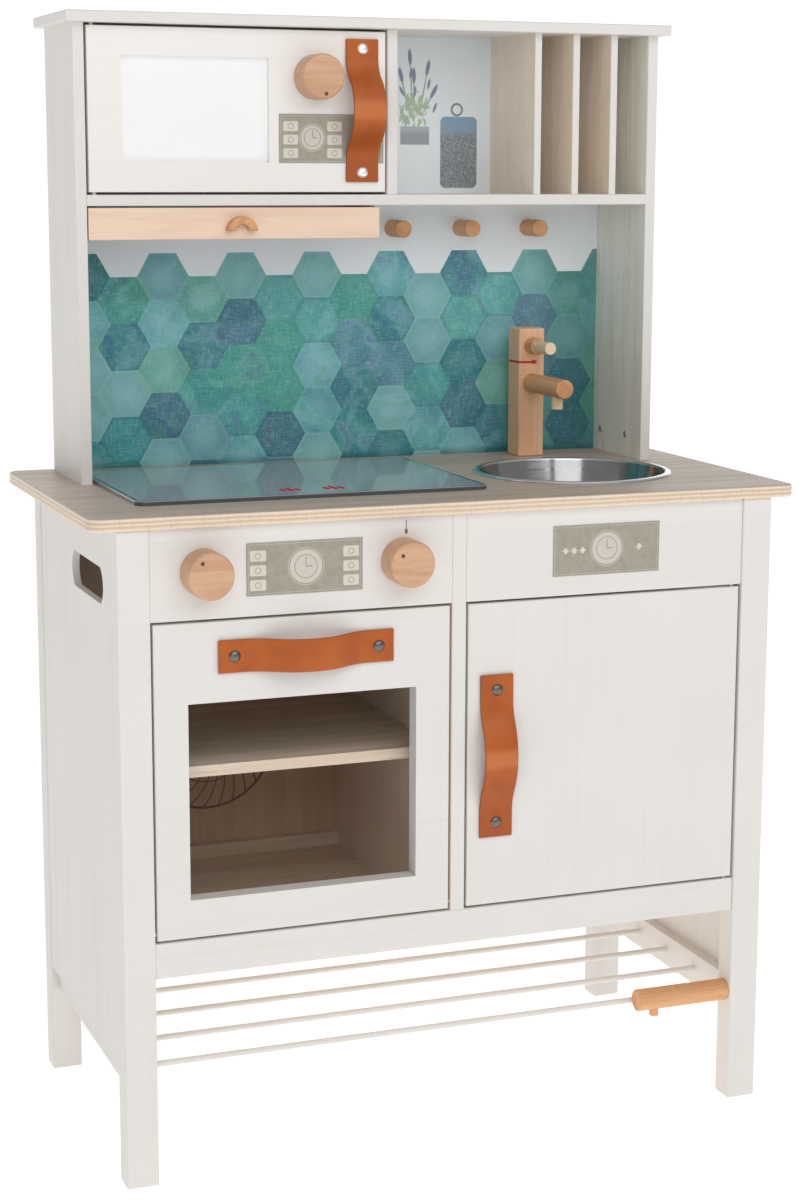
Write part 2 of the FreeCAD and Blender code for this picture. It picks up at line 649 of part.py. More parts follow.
def finish_door(label, leaf, strap_label, leather, bores, pins):
    holes = fuse(label + "_rivet_bores", *bores)
    node(cut(label, leaf, holes, *pins), label)
    node(cut(strap_label, leather, holes), strap_label)


def stops():
    """Blocks behind the doors' free edges, each with a magnet set in its front."""
    behind = "(%s + door_thick + slide_clear)" % FACE
    deep, half = 12, 10
    upper = "fascia_bottom - 8"
    places = [(("-%s - batten" % STILE, "-" + STILE), behind, upper),
              ((STILE, STILE + " + batten"), behind, upper),
              (("oven_divider_left - batten", "oven_divider_left"),
               "(hutch_front + microwave_thick + slide_clear)", "(%s + roof_bottom) / 2" % SHELF_TOP)]
    blocks, magnets = [], []
    for index, (x, front, middle) in enumerate(places):
        name = "door_stop_%d" % index
        if index < 2:
            z = ("%s - %d" % (upper, 2 * half), upper)
            middle = "%s - %d" % (upper, half)
        else:
            z = ("%s - %d" % (middle, half), "%s + %d" % (middle, half))
        stock = block(name + "_stock", x, (front, "%s + %d" % (front, deep)), z)
        spot = ("(%s + %s) / 2" % x, front, middle)
        magnets.append(dowel(name + "_magnet", "y", spot, 6, 4))
        blocks.append(cut(name, stock, dowel(name + "_seat", "y", spot, 6, 4)))
    node(group("door_stops", *blocks), "door_stops")
    node(group("door_magnets", *magnets), "door_magnets")


# --- hutch --------------------------------------------------------------------------------------

def hutch_box():
    depth = ("hutch_front", "hutch_rear")
    for side in ("left", "right"):
        name = "hutch_side_" + side
        board = block(name + "_stock", mirrored(HUTCH_IN, "hutch_outer", side), depth,
                      ("worktop_top", "roof_bottom"))
        board = soften(name + "_round", board, "soft_board", straight(2))
        start = HUTCH_IN if side == "right" else "-%s - 4" % HUTCH_IN
        bores = [dowel("%s_bore_%d" % (name, n), "x", (start, y, "worktop_top + 20"), 3, 4)
                 for n, y in enumerate(SCREW_PLACES)]
        node(cut(name, board, *bores), name)
    roof = block("roof_stock", ("-roof_outer", "roof_outer"), ("roof_front", REAR),
                 ("roof_bottom", "roof_bottom + roof_thick"))
    roof = soften("roof_round", roof, "soft_top")
    node(cut("hutch_roof", roof, microwave_pin("roof_bore", "top")), "hutch_roof")
    shelf = block("shelf_stock", ("-" + HUTCH_IN, HUTCH_IN), ("hutch_front", "splash_front + back_thick"),
                  ("shelf_bottom", SHELF_TOP))
    shelf = soften("shelf_round", shelf, "soft_board", lambda edge: straight(0)(edge)
                   and abs(edge.Vertexes[0].Y - SIZE["hutch_front"]) < 0.1)
    node(cut("hutch_shelf", shelf, microwave_pin("shelf_bore", "bottom")), "hutch_shelf")


SCREW_PLACES = ("hutch_front + 30", "hutch_front + 82")


def hutch_screws():
    """Pan-head screws low on the inside of each hutch side."""
    screws = []
    for side in ("left", "right"):
        for n, y in enumerate(SCREW_PLACES):
            name = "hutch_screw_%s_%d" % (side, n)
            shank = HUTCH_IN if side == "right" else "-%s - 4" % HUTCH_IN
            head = "%s - 1.4" % HUTCH_IN if side == "right" else "-" + HUTCH_IN
            pan = dowel(name + "_head", "x", (head, y, "worktop_top + 20"), 6, 1.4)
            screws.append(fuse(name, soften(name + "_pan", pan, "soft_pan"),
                               dowel(name + "_shank", "x", (shank, y, "worktop_top + 20"), 3, 4)))
    node(group("hutch_screws", *screws), "hutch_screws")


SIZE["soft_pan"] = 0.4


def hutch_inside():
    upright = (SHELF_TOP, "roof_bottom")
    depth = ("hutch_front", "splash_front")
    def front_edges(edge):
        return straight(2)(edge) and abs(edge.Vertexes[0].Y - SIZE["hutch_front"]) < 0.1
    board = block("divider_stock", ("oven_divider_left", DIVIDER_RIGHT), depth, upright)
    node(soften("microwave_divider", board, "soft_board", front_edges), "microwave_divider")
    boards = []
    for n in range(3):
        low = "%s - %d * (rack_slot + rack_board)" % (HUTCH_IN, n + 1)
        stock = block("rack_divider_%d_stock" % n, (low, low + " + rack_board"), depth, upright)
        boards.append(soften("rack_divider_%d" % n, stock, "soft_board", front_edges))
    node(group("rack_dividers", *boards), "rack_dividers")
    panel = ("splash_front", "splash_front + back_thick")
    node(block("splash_panel", ("-" + HUTCH_IN, HUTCH_IN), panel, ("worktop_top", "shelf_bottom")),
         "splash_panel")
    node(block("hutch_back_panel", ("-" + HUTCH_IN, HUTCH_IN), panel, upright), "hutch_back_panel")


def hood_pull(x, z):
    """Half ring that stands on the visor as a finger pull; gives back the socket for its tenon."""
    front, centre = "hutch_front - pull_rise", z + " - pull_drop"
    disc = dowel("pull_disc", "y", (x, front, centre), "pull_wide", "pull_rise")
    hollow = dowel("pull_hollow", "y", (x, front, centre), "pull_wide - 2 * pull_band", "pull_rise")
    below = block("pull_below", (x + " - pull_wide", x + " + pull_wide"), (front, "hutch_front"),
                  (centre + " - pull_wide", centre + " + 1"))
    arch = soften("pull_round", cut("pull_arch", disc, hollow, below), "soft_pull",
                  lambda edge: edge.BoundBox.YMax < value("hutch_front - pull_rise / 2"))
    root = (x, "hutch_front", centre + " + (pull_wide - pull_band) / 2")
    tenon = dowel("pull_tenon", "y", root, "pull_tenon_dia", "pull_tenon_long")
    node(fuse("hood_pull", arch, tenon), "hood_pull")
    return dowel("pull_socket", "y", root, "pull_tenon_dia", "pull_tenon_long")


def hood():
    """Pull-out extractor: a visor bar with a thin tray that slides in two grooved runners."""
    visor = block("visor_stock", ("visor_left", "visor_right"),
                  ("hutch_front", "hutch_front + visor_thick"), ("visor_bottom", "visor_top"))
    middle = ("(visor_left + visor_right) / 2 + 2.5", "(visor_bottom + visor_top) / 2")
    visor = soften("visor_round", visor, "soft_board")
    node(cut("hood_visor", visor, hood_pull(*middle)), "hood_visor")
    grooves = ("-%s + runner_wide - runner_grip + slide_clear" % HUTCH_IN,
               "visor_right - runner_wide + runner_grip - slide_clear")
    rear_of_visor = "hutch_front + visor_thick"
    node(block("hood_tray", grooves, (rear_of_visor, "tray_rear"),
               ("tray_bottom", "tray_bottom + tray_thick")), "hood_tray")
    runners = []
    for name, x in (("left", ("-" + HUTCH_IN, "-%s + runner_wide" % HUTCH_IN)),
                    ("right", ("visor_right - runner_wide", "visor_right"))):
        stock = block("runner_%s_stock" % name, x, (rear_of_visor + " + 1", "splash_front"),
                      ("runner_bottom", "shelf_bottom"))
        low = x[1] + " - runner_grip" if name == "left" else x[0]
        groove = block("runner_%s_groove" % name, (low, low + " + runner_grip"),
                       (rear_of_visor, "splash_front"),
                       ("tray_bottom - slide_clear", "tray_bottom + tray_thick + slide_clear"))
        runners.append(cut("runner_" + name, stock, groove))
    node(group("hood_runners", *runners), "hood_runners")


def utensil_pegs():
    pegs = []
    for n in range(3):
        stock = dowel("peg_%d_stock" % n, "y", ("peg_first + %d * peg_pitch" % n, "splash_front - peg_long",
                                                "peg_height"), "peg_dia", "peg_long")
        pegs.append(soften("peg_%d" % n, stock, "soft_peg",
                           lambda edge: edge.BoundBox.YMax < value("splash_front - peg_long / 2")))
    node(group("utensil_pegs", *pegs), "utensil_pegs")


# --- hob, sink and tap --------------------------------------------------------------------------

def hob():
    plate = block("hob_stock", ("hob_left", "hob_right"), ("hob_front", "hob_rear"),
                  ("worktop_top", "worktop_top + hob_thick"))
    plate = soften("hob_corners", plate, "hob_corner", lambda edge: straight(2)(edge)
                   and edge.Vertexes[0].Y < 0)
    top = value("worktop_top + hob_thick")
    node(soften("hob_glass", plate, "soft_board", lambda edge: edge.BoundBox.ZMin > top - 0.01), "hob_glass")
    half_wide, half_deep = "box_wide / 2", "box_deep / 2"
    node(block("hob_battery_box",
               ("box_centre_across - " + half_wide, "box_centre_across + " + half_wide),
               ("box_centre_back - " + half_deep, "box_centre_back + " + half_deep),
               ("worktop_top - box_down", "worktop_top")), "hob_battery_box")


def sink():
    """Pressed steel basin: rolled rim, sloping wall and a dished bottom."""
    wall, base, rim = SIZE["sink_wall"], SIZE["sink_base"], SIZE["sink_rim"]
    sheet_t, deep, rise = SIZE["sink_sheet"], SIZE["sink_deep"], SIZE["sink_rim_rise"]
    bend = 14.0
    outer = [V(rim, 0), V(wall, 0)]
    low = V(base, -deep)
    corner = V(base + bend * 0.86, -deep + bend * 0.9)
    side = Part.LineSegment(outer[1], corner)
    toe = Part.Arc(corner, V(base + bend * 0.45, -deep + bend * 0.22), low)
    floor_line = Part.LineSegment(low, V(0, -deep + 1.5))
    inner_low = V(base - 0.5, -deep + sheet_t)
    inner_corner = V(corner.x - 1.1, corner.y + 0.4)
    inner_toe = Part.Arc(inner_low, V(base + bend * 0.45 - 0.8, -deep + bend * 0.22 + 0.8), inner_corner)
    lip = V(wall - 1.3, rise - 1.2)
    crest = V(wall + 1.0, rise)
    profile = [Part.LineSegment(outer[0], outer[1]), side, toe, floor_line,
               Part.LineSegment(V(0, -deep + 1.5), V(0, -deep + 1.5 + sheet_t)),
               Part.LineSegment(V(0, -deep + 1.5 + sheet_t), inner_low), inner_toe,
               Part.LineSegment(inner_corner, lip), Part.Arc(lip, V(wall - 0.4, rise - 0.3), crest),
               Part.Arc(crest, V(rim - 1.0, rise - 0.5), V(rim, 0.6)),
               Part.LineSegment(V(rim, 0.6), outer[0])]
    body = turned("sink_basin", profile, ("sink_across", "sink_back", "worktop_top"))
    body.Placement.Rotation = FreeCAD.Rotation(V(1, 0, 0), 90)
    node(body, "sink_basin")


def tap():
    x, rear = "tap_across", "tap_front + tap_width"
    post = block("tap_post", ("tap_across - tap_width / 2", "tap_across + tap_width / 2"),
                 ("tap_front", rear), ("worktop_top", "worktop_top + tap_high"))
    post = soften("tap_post_round", post, "soft_leg")
    spout_bore = dowel("spout_bore", "y", (x, "tap_front", "spout_height"), "spout_dia", "spout_socket")
    lever_bore = dowel("lever_bore", "y", (x, "tap_front", "lever_height"),
                       "(lever_shank + 2 * turn_clear)", "lever_socket + 1")
    node(cut("tap_column", post, spout_bore, lever_bore), "tap_column")
    spout = dowel("spout_stock", "y", (x, "tap_front - spout_long", "spout_height"), "spout_dia",
                  "spout_long + spout_socket")
    spout = soften("spout_round", spout, "soft_leg", lambda edge: edge.BoundBox.YMax < 90
                   and edge.BoundBox.XLength > 5)
    drop = (x, "tap_front - spout_long + outlet_inset", "spout_height - spout_dia / 4")
    length = "spout_dia / 4 + outlet_down"
    node(cut("tap_spout", spout, dowel("outlet_bore", "-z", drop, "outlet_dia", length)), "tap_spout")
    node(dowel("tap_outlet", "-z", drop, "outlet_dia", length), "tap_outlet")
    hub = dowel("lever_hub_stock", "y", (x, "tap_front - lever_gap - lever_hub", "lever_height"),
                "lever_dia", "lever_hub")
    hub = soften("lever_hub_round", hub, "soft_peg")
    shank = dowel("lever_shank_stock", "y", (x, "tap_front - lever_gap", "lever_height"), "lever_shank",
                  "lever_gap + lever_socket")
    reach = "lever_reach - lever_gap - lever_hub"
    tip_start = "tap_front - lever_reach"
    pin_bore = dowel("lever_pin_bore", "y", (x, tip_start, "lever_height"), "lever_pin_dia", reach + " + 6")
    node(cut("tap_lever", fuse("lever_turned", hub, shank), pin_bore), "tap_lever")
    pin = dowel("lever_pin_stock", "y", (x, tip_start, "lever_height"), "lever_pin_dia", reach + " + 6")
    node(soften("tap_lever_pin", pin, "soft_peg", lambda edge: edge.BoundBox.YMax < 75), "tap_lever_pin")


# --- knobs and printed plates -------------------------------------------------------------------

def knob(label, x, face, z, board):
    """Turned disc with a rounded front edge and a shank that runs through its panel."""
    radius, long, soft = SIZE["knob_dia"] / 2, SIZE["knob_long"], SIZE["knob_round"]
    shank, gap = SIZE["shank_dia"] / 2, 0.3
    back = -(board + SIZE["shank_out"])
    bend = soft * (1 - math.sqrt(0.5))
    profile = lines([(0, back, 0), (shank, back, 0), (shank, gap, 0), (radius - 0.6, gap, 0),
                     (radius, gap + 0.6, 0), (radius, long - soft, 0)])
    profile.append(Part.Arc(V(radius, long - soft), V(radius - bend, long - bend), V(radius - soft, long)))
    profile += lines([(radius - soft, long, 0), (0, long, 0), (0, back, 0)])
    body = turned(label, profile, (x, face, z))
    body.Placement.Rotation = FreeCAD.Rotation(V(1, 0, 0), 180)
    node(body, label)


def knobs():
    for n, side in enumerate(("left", "right")):
        knob("oven_knob_" + side, oven_knob_across(n), FACE, "oven_knob_height", SIZE["board"])
    knob("microwave_knob", "microwave_knob_across", "hutch_front", "microwave_knob_height",
         SIZE["microwave_thick"])


def control_plates():
    """Thin printed plates stuck to the fascias and the microwave door."""
    plates = (("oven_control_plate", -176.5, -82.0, 469.0, 510.2, FACE),
              ("cabinet_control_plate", 81.0, 175.8, 469.0, 510.2, FACE),
              ("microwave_control_plate", -88.0, 4.0, 797.0, 837.0, "hutch_front"))
    for label, left, right, low, high, face in plates:
        plate = block(label + "_stock", (left, right), ("%s - plate_thick" % face, face), (low, high))
        if label.startswith("microwave"):
            plate = cut(label + "_clear", plate, strap_foot())
        node(plate, label)


def strap_foot():
    """Where the microwave strap's lower end lies flat on the door, the plate stops short."""
    return block("strap_foot", (-30.2, -0.6), ("hutch_front - 5", "hutch_front + 1"), (780, 803))


def build():
    legs()
    side_panels()
    side_rails()
    rack()
    towel_peg()
    worktop()
    fascias()
    partition()
    apron()
    shelves()
    lower_back()
    hob()
    tap()
    hutch_box()
    hutch_inside()
    hood()
    utensil_pegs()
    control_plates()
    hinge_pins()
    stops()
    hutch_screws()
    sink()
    microwave_door()
    oven_door()
    cabinet_door()
    knobs()
    doc.recompute()


def check():
    for obj in doc.Objects:
        if "Invalid" in obj.State or "Error" in obj.State:
            raise ValueError("%s failed: %s" % (obj.Label, obj.State))
    for obj in NODES:
        if obj.Shape.isNull() or not obj.Shape.isValid() or obj.Shape.Volume < 1:
            raise ValueError("%s has no valid solid" % obj.Label)


def export():
    os.makedirs("parts", exist_ok=True)
    labels = [obj.Label for obj in NODES]
    if any(label[-3:].isdigit() for label in labels) or len(set(labels)) != len(labels):
        raise ValueError("two pieces share a name")
    for obj in NODES:
        obj.Shape.exportStep("parts/%s.step" % obj.Label)
        print("%-26s %d solid(s) %10.0f mm3" % (obj.Label, len(obj.Shape.Solids), obj.Shape.Volume))


build()
check()
export()
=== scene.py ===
"""Looks of a wooden play kitchen: washed paint, beech, leather pulls, tile print, hob, sink and tap."""

from __future__ import annotations

import logging
import math
from dataclasses import dataclass, field
from enum import Enum
from functools import cache

import bpy
from mathutils import Matrix, Vector


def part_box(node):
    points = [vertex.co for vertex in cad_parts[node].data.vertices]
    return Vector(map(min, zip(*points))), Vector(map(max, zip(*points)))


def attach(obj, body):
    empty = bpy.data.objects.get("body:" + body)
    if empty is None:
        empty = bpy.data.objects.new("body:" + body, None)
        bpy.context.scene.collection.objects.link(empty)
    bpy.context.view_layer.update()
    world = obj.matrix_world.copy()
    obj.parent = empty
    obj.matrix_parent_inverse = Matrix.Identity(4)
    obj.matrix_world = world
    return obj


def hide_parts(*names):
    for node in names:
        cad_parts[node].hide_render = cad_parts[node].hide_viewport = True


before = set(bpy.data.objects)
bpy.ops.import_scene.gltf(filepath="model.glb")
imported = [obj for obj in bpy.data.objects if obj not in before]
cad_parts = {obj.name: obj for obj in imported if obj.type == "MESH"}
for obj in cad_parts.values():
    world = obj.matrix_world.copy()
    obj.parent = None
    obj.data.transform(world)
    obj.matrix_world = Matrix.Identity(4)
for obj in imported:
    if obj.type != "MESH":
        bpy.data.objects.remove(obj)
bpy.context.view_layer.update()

LOG = logging.getLogger("play_kitchen")
MM = 0.001
Colour = tuple[float, float, float, float]
Pair = tuple[float, float]
Value = object


def rgb(red: int, green: int, blue: int) -> Colour:
    """A display colour as the linear colour that a shader takes.

    Args:
        red: Red, 0 to 255.
        green: Green, 0 to 255.
        blue: Blue, 0 to 255.

    Returns:
        The colour, with full alpha.
    """
    def channel(level: int) -> float:
        """One channel, linear."""
        part = level / 255
        return part / 12.92 if part <= 0.04045 else ((part + 0.055) / 1.055) ** 2.4
    return (channel(red), channel(green), channel(blue), 1.0)


def inset(low: Pair, high: Pair, by: float) -> tuple[Pair, Pair]:
    """The corners of a rectangle that lies inside another by the same amount all round."""
    return (low[0] + by, low[1] + by), (high[0] - by, high[1] - by)


class Grain(Enum):
    """The way the fibres of a wooden piece run."""

    ACROSS = 0
    DEEP = 1
    UPRIGHT = 2

    def stretch(self, fine: float, long: float) -> tuple[float, float, float]:
        """Pattern scale that is fine across the fibres and long along them."""
        scale = [fine, fine, fine]
        scale[self.value] = long
        return tuple(scale)


class Graph:
    """A material's nodes, with a short call for each kind that the finishes use."""

    def __init__(self, name: str) -> None:
        """Start a material with a Principled shader and the piece's own coordinates."""
        self.material = bpy.data.materials.new(name)
        self.material.use_nodes = True
        self.tree = self.material.node_tree
        self.tree.nodes.clear()
        self.shader = self.node("ShaderNodeBsdfPrincipled")
        output = self.node("ShaderNodeOutputMaterial")
        self.tree.links.new(self.shader.outputs[0], output.inputs["Surface"])
        coordinates = self.node("ShaderNodeTexCoord")
        self.point = coordinates.outputs["Object"]
        self.x, self.y, self.z = self.split(self.point)
        self.facing = self.split(coordinates.outputs["Normal"])

    def node(self, kind: str, inputs: dict[int | str, Value] | None = None,
             **settings: Value) -> bpy.types.Node:
        """Add a node.

        Args:
            kind: Blender's name for the node.
            inputs: Value or socket for each input, by number or name.
            settings: Properties of the node itself.

        Returns:
            The new node.
        """
        made = self.tree.nodes.new(kind)
        for name, setting in settings.items():
            setattr(made, name, setting)
        for key, value in (inputs or {}).items():
            if isinstance(value, bpy.types.NodeSocket):
                self.tree.links.new(value, made.inputs[key])
            else:
                made.inputs[key].default_value = value
        return made

    def split(self, vector: Value) -> tuple[Value, Value, Value]:
        """The three parts of a vector."""
        return tuple(self.node("ShaderNodeSeparateXYZ", {0: vector}).outputs)

    def math(self, operation: str, first: Value, second: Value = 0.0) -> Value:
        """Work out one number from one or two."""
        return self.node("ShaderNodeMath", {0: first, 1: second}, operation=operation).outputs[0]

    def vector(self, operation: str, first: Value, second: Value = (0, 0, 0)) -> Value:
        """Work out a vector, or its length."""
        made = self.node("ShaderNodeVectorMath", {0: first, 1: second}, operation=operation)
        return made.outputs["Value" if operation == "LENGTH" else "Vector"]

    def plane(self, first: Value, second: Value) -> Value:
        """A flat vector from two coordinates."""
        return self.node("ShaderNodeCombineXYZ", {0: first, 1: second}).outputs[0]

    def place(self, vector: Value, at: tuple = (0, 0, 0), turn: float = 0.0,
              size: tuple = (1, 1, 1)) -> Value:
        """Coordinates in which a shape at a place, turned and sized, is a unit shape."""
        return self.node("ShaderNodeMapping", {"Vector": vector, "Location": at, "Rotation": (0, 0, turn),
                                               "Scale": size}, vector_type="TEXTURE").outputs[0]

    def noise(self, scale: tuple | float, detail: float = 2.0, warp: float = 0.0,
              vector: Value = None) -> Value:
        """Cloudy noise.

        Args:
            scale: Scale along each axis, or one for all, in waves a metre.
            detail: Number of finer layers.
            warp: How far it is distorted.
            vector: Coordinates to use instead of the piece's own.

        Returns:
            The noise, about 0 to 1.
        """
        sizes = scale if isinstance(scale, tuple) else (scale, scale, scale)
        moved = self.vector("MULTIPLY", vector or self.point, sizes)
        return self.node("ShaderNodeTexNoise", {"Vector": moved, "Scale": 1.0, "Detail": detail,
                                                "Distortion": warp}).outputs[0]

    def step(self, value: Value, low: float, high: float, out_low: float = 0.0,
             out_high: float = 1.0) -> Value:
        """Smooth step from one level to another."""
        return self.node("ShaderNodeMapRange", {0: value, 1: low, 2: high, 3: out_low, 4: out_high},
                         interpolation_type="SMOOTHSTEP").outputs[0]

    def mix(self, amount: Value, first: Value, second: Value, blend: str = "MIX") -> Value:
        """Blend two colours."""
        return self.node("ShaderNodeMix", {0: amount, 6: first, 7: second}, data_type="RGBA",
                         blend_type=blend).outputs[2]

    def ramp(self, value: Value, stops: list[tuple[float, Colour]], hard: bool = False) -> Value:
        """Colours along a scale.

        Args:
            value: Where on the scale, 0 to 1.
            stops: Places on the scale with their colours.
            hard: Whether the colours step instead of blending.

        Returns:
            The colour.
        """
        made = self.node("ShaderNodeValToRGB", {0: value})
        made.color_ramp.interpolation = "CONSTANT" if hard else "LINEAR"
        marks = made.color_ramp.elements
        while len(marks) < len(stops):
            marks.new(1.0)
        for mark, (place, colour) in zip(marks, stops):
            mark.position, mark.color = place, colour
        return made.outputs[0]

    def disc(self, flat: Value, at: Pair, radii: Pair, turn: float = 0.0,
             soft: float = 0.06) -> Value:
        """Mask of an ellipse.

        Args:
            flat: Coordinates in the ellipse's plane.
            at: Its centre, in millimetres.
            radii: Its two radii, in millimetres.
            turn: Its turn in radians.
            soft: Softness of its edge, as a part of the radius.

        Returns:
            A mask that is 1 inside.
        """
        size = (radii[0] * MM, radii[1] * MM, 1)
        unit = self.place(flat, (at[0] * MM, at[1] * MM, 0), turn, size)
        return self.step(self.vector("LENGTH", unit), 1 + soft, 1 - soft)

    def ring(self, flat: Value, at: Pair, radius: float, width: float) -> Value:
        """Mask of a circle's line.

        Args:
            flat: Coordinates in the circle's plane.
            at: Its centre, in millimetres.
            radius: Its radius, in millimetres.
            width: Width of the line, in millimetres.

        Returns:
            A mask that is 1 on the line.
        """
        unit = self.place(flat, (at[0] * MM, at[1] * MM, 0), 0.0, (MM, MM, 1))
        off = self.math("ABSOLUTE", self.math("SUBTRACT", self.vector("LENGTH", unit), radius))
        return self.step(off, width * 0.65, width * 0.35)

    def panel(self, flat: Value, low: Pair, high: Pair, corner: float = 0.0,
              soft: float = 0.35) -> Value:
        """Mask of a rectangle with rounded corners.

        Args:
            flat: Coordinates in the rectangle's plane.
            low: Its lower corner, in millimetres.
            high: Its upper corner, in millimetres.
            corner: Radius of its corners, in millimetres.
            soft: Softness of its edge, in millimetres.

        Returns:
            A mask that is 1 inside.
        """
        middle = ((low[0] + high[0]) / 2 * MM, (low[1] + high[1]) / 2 * MM, 0)
        unit = self.vector("ABSOLUTE", self.place(flat, middle, 0.0, (MM, MM, 1)))
        reach = ((high[0] - low[0]) / 2 - corner, (high[1] - low[1]) / 2 - corner, 0)
        past = self.vector("SUBTRACT", unit, reach)
        outside = self.vector("LENGTH", self.vector("MAXIMUM", past, (0, 0, 0)))
        return self.step(outside, corner + soft, max(corner - soft, 0.0))

    def cover(self, *masks: Value) -> Value:
        """Join masks.

        Args:
            masks: Masks to join.

        Returns:
            A mask that is 1 where any of them is.
        """
        total = masks[0]
        for mask in masks[1:]:
            total = self.math("MAXIMUM", total, mask)
        return total

    def bump(self, height: Value, depth: float, strength: float = 1.0) -> None:
        """Raise the surface by a height pattern whose full depth is in millimetres."""
        made = self.node("ShaderNodeBump", {"Height": height, "Distance": depth * MM, "Strength": strength})
        self.tree.links.new(made.outputs[0], self.shader.inputs["Normal"])

    def wear(self, colour: Value, rough: Value, **others: Value) -> bpy.types.Material:
        """Finish the shader.

        Args:
            colour: Base colour.
            rough: Roughness.
            others: Other inputs of the shader, by name with underscores.

        Returns:
            The material.
        """
        for name, value in {"Base Color": colour, "Roughness": rough, **others}.items():
            socket = self.shader.inputs[name.replace("_", " ")]
            if isinstance(value, bpy.types.NodeSocket):
                self.tree.links.new(value, socket)
            else:
                socket.default_value = value
        return self.material

    def wood(self, grain: Grain, light: Colour, dark: Colour, pores: Colour,
             figure: float = 1.0) -> tuple[Value, Value]:
        """Colour and height of bare wood.

        Args:
            grain: The way the fibres run.
            light: Colour between the rings.
            dark: Colour of the rings.
            pores: Colour of the short dark flecks.
            figure: How strongly the rings show.

        Returns:
            The colour and a height pattern.
        """
        bands = self.noise(grain.stretch(46, 2.6), 3.0, 1.4)
        rings = self.math("PINGPONG", self.math("MULTIPLY", bands, 5.0), 1.0)
        tone = self.mix(self.math("MULTIPLY", self.step(rings, 0.1, 1.0), 0.75 * figure), light, dark)
        fibres = self.noise(grain.stretch(620, 14), 2.0)
        tone = self.mix(self.step(fibres, 0.42, 0.75, 0.0, 0.35), tone, dark)
        flecks = self.step(self.noise(grain.stretch(1500, 120), 1.0), 0.64, 0.76, 0.0, 0.5)
        tone = self.mix(flecks, tone, pores)
        return tone, self.math("SUBTRACT", fibres, self.math("MULTIPLY", flecks, 0.6))


@dataclass(frozen=True)
class WashedPaint:
    """White paint brushed thinly over wood, so that the grain just shows.

    Attributes:
        grain: The way the fibres run.
        tint: Colour of the paint.
        shade: Its colour where it is thin.
        inside: Colour of faces that look sideways: bare wood on some boards, on others a lighter tone that is
            painted light on inner faces in shade.
        left_only: Whether only those that look left take it.
        pointer: Foot of a small printed arrow, in millimetres.
        label: Name that stands in for the grain's.
    """

    grain: Grain = Grain.UPRIGHT
    tint: Colour = rgb(228, 225, 221)
    shade: Colour = rgb(220, 216, 210)
    inside: Colour | None = None
    left_only: bool = False
    pointer: Pair | None = None
    label: str = ""

    def make(self) -> bpy.types.Material:
        """Build the material; the inside colour goes on faces that look sideways, or only left.

        Returns:
            The material.
        """
        g = Graph("washed_paint_" + (self.label or self.grain.name.lower()))
        cloud = g.noise(9, 3.0)
        strokes = g.noise(self.grain.stretch(260, 3.2), 3.0)
        fibres = g.noise(self.grain.stretch(900, 16), 2.0)
        base = g.mix(g.step(cloud, 0.3, 0.75, 0.0, 0.28), self.tint, self.shade)
        base = g.mix(g.step(strokes, 0.5, 0.78, 0.0, 0.42), base, self.shade)
        lines = g.step(fibres, 0.66, 0.8, 0.0, 0.22)
        base = g.mix(lines, base, rgb(196, 184, 168))
        if self.inside:
            bare, _ = g.wood(self.grain, self.inside, rgb(224, 216, 202), rgb(190, 178, 158), 0.5)
            facing = g.facing[0]
            sideways = g.math("MULTIPLY", facing, -1.0) if self.left_only else g.math("ABSOLUTE", facing)
            base = g.mix(g.step(sideways, 0.6, 0.9), base, bare)
        if self.pointer:
            flat, (across, up) = g.plane(g.x, g.z), self.pointer
            mark = g.cover(g.disc(flat, (across, up), (1.3, 2.4), soft=0.2),
                           g.panel(flat, (across - 0.35, up), (across + 0.35, up + 9), 0.1, 0.2))
            base = g.mix(mark, base, rgb(120, 108, 98))
        g.bump(g.math("SUBTRACT", g.math("MULTIPLY", strokes, 0.6), lines), 0.10, 0.6)
        return g.wear(base, g.step(strokes, 0.3, 0.8, 0.42, 0.58), Specular_IOR_Level=0.35)


@dataclass(frozen=True)
class BareWood:
    """Sanded, thinly oiled wood, with a spot or a line where one is marked.

    Attributes:
        name: Name of the finish.
        light: Colour between the rings.
        dark: Colour of the rings.
        pores: Colour of the flecks.
        grain: The way the fibres run.
        rough: Roughness.
        figure: How strongly the rings show.
        spots: Small dark spots, in millimetres.
        line_height: Height of a red line, in millimetres.
        line_end: Its right end, in millimetres.
    """

    name: str
    light: Colour
    dark: Colour
    pores: Colour
    grain: Grain = Grain.UPRIGHT
    rough: float = 0.5
    figure: float = 1.0
    spots: tuple[Pair, ...] = ()
    line_height: float | None = None
    line_end: float = 0.0

    def make(self) -> bpy.types.Material:
        """Build the material.

        Returns:
            The material.
        """
        g = Graph(self.name)
        tone, height = g.wood(self.grain, self.light, self.dark, self.pores, self.figure)
        flat = g.plane(g.x, g.z)
        for across, up in self.spots:
            tone = g.mix(g.disc(flat, (across, up), (1.6, 1.6), soft=0.25), tone, rgb(92, 58, 38))
        if self.line_height is not None:
            stripe = g.cover(g.panel(flat, (self.line_end - 40, self.line_height - 1.0),
                                     (self.line_end, self.line_height + 1.0), 0.2, 0.25),
                             g.disc(flat, (self.line_end + 1, self.line_height), (3.0, 1.9), soft=0.15))
            tone = g.mix(stripe, tone, rgb(196, 32, 44))
        g.bump(height, 0.12, 0.5)
        rough = g.step(height, 0.3, 0.8, self.rough - 0.06, self.rough + 0.08)
        return g.wear(tone, rough, Specular_IOR_Level=0.4)


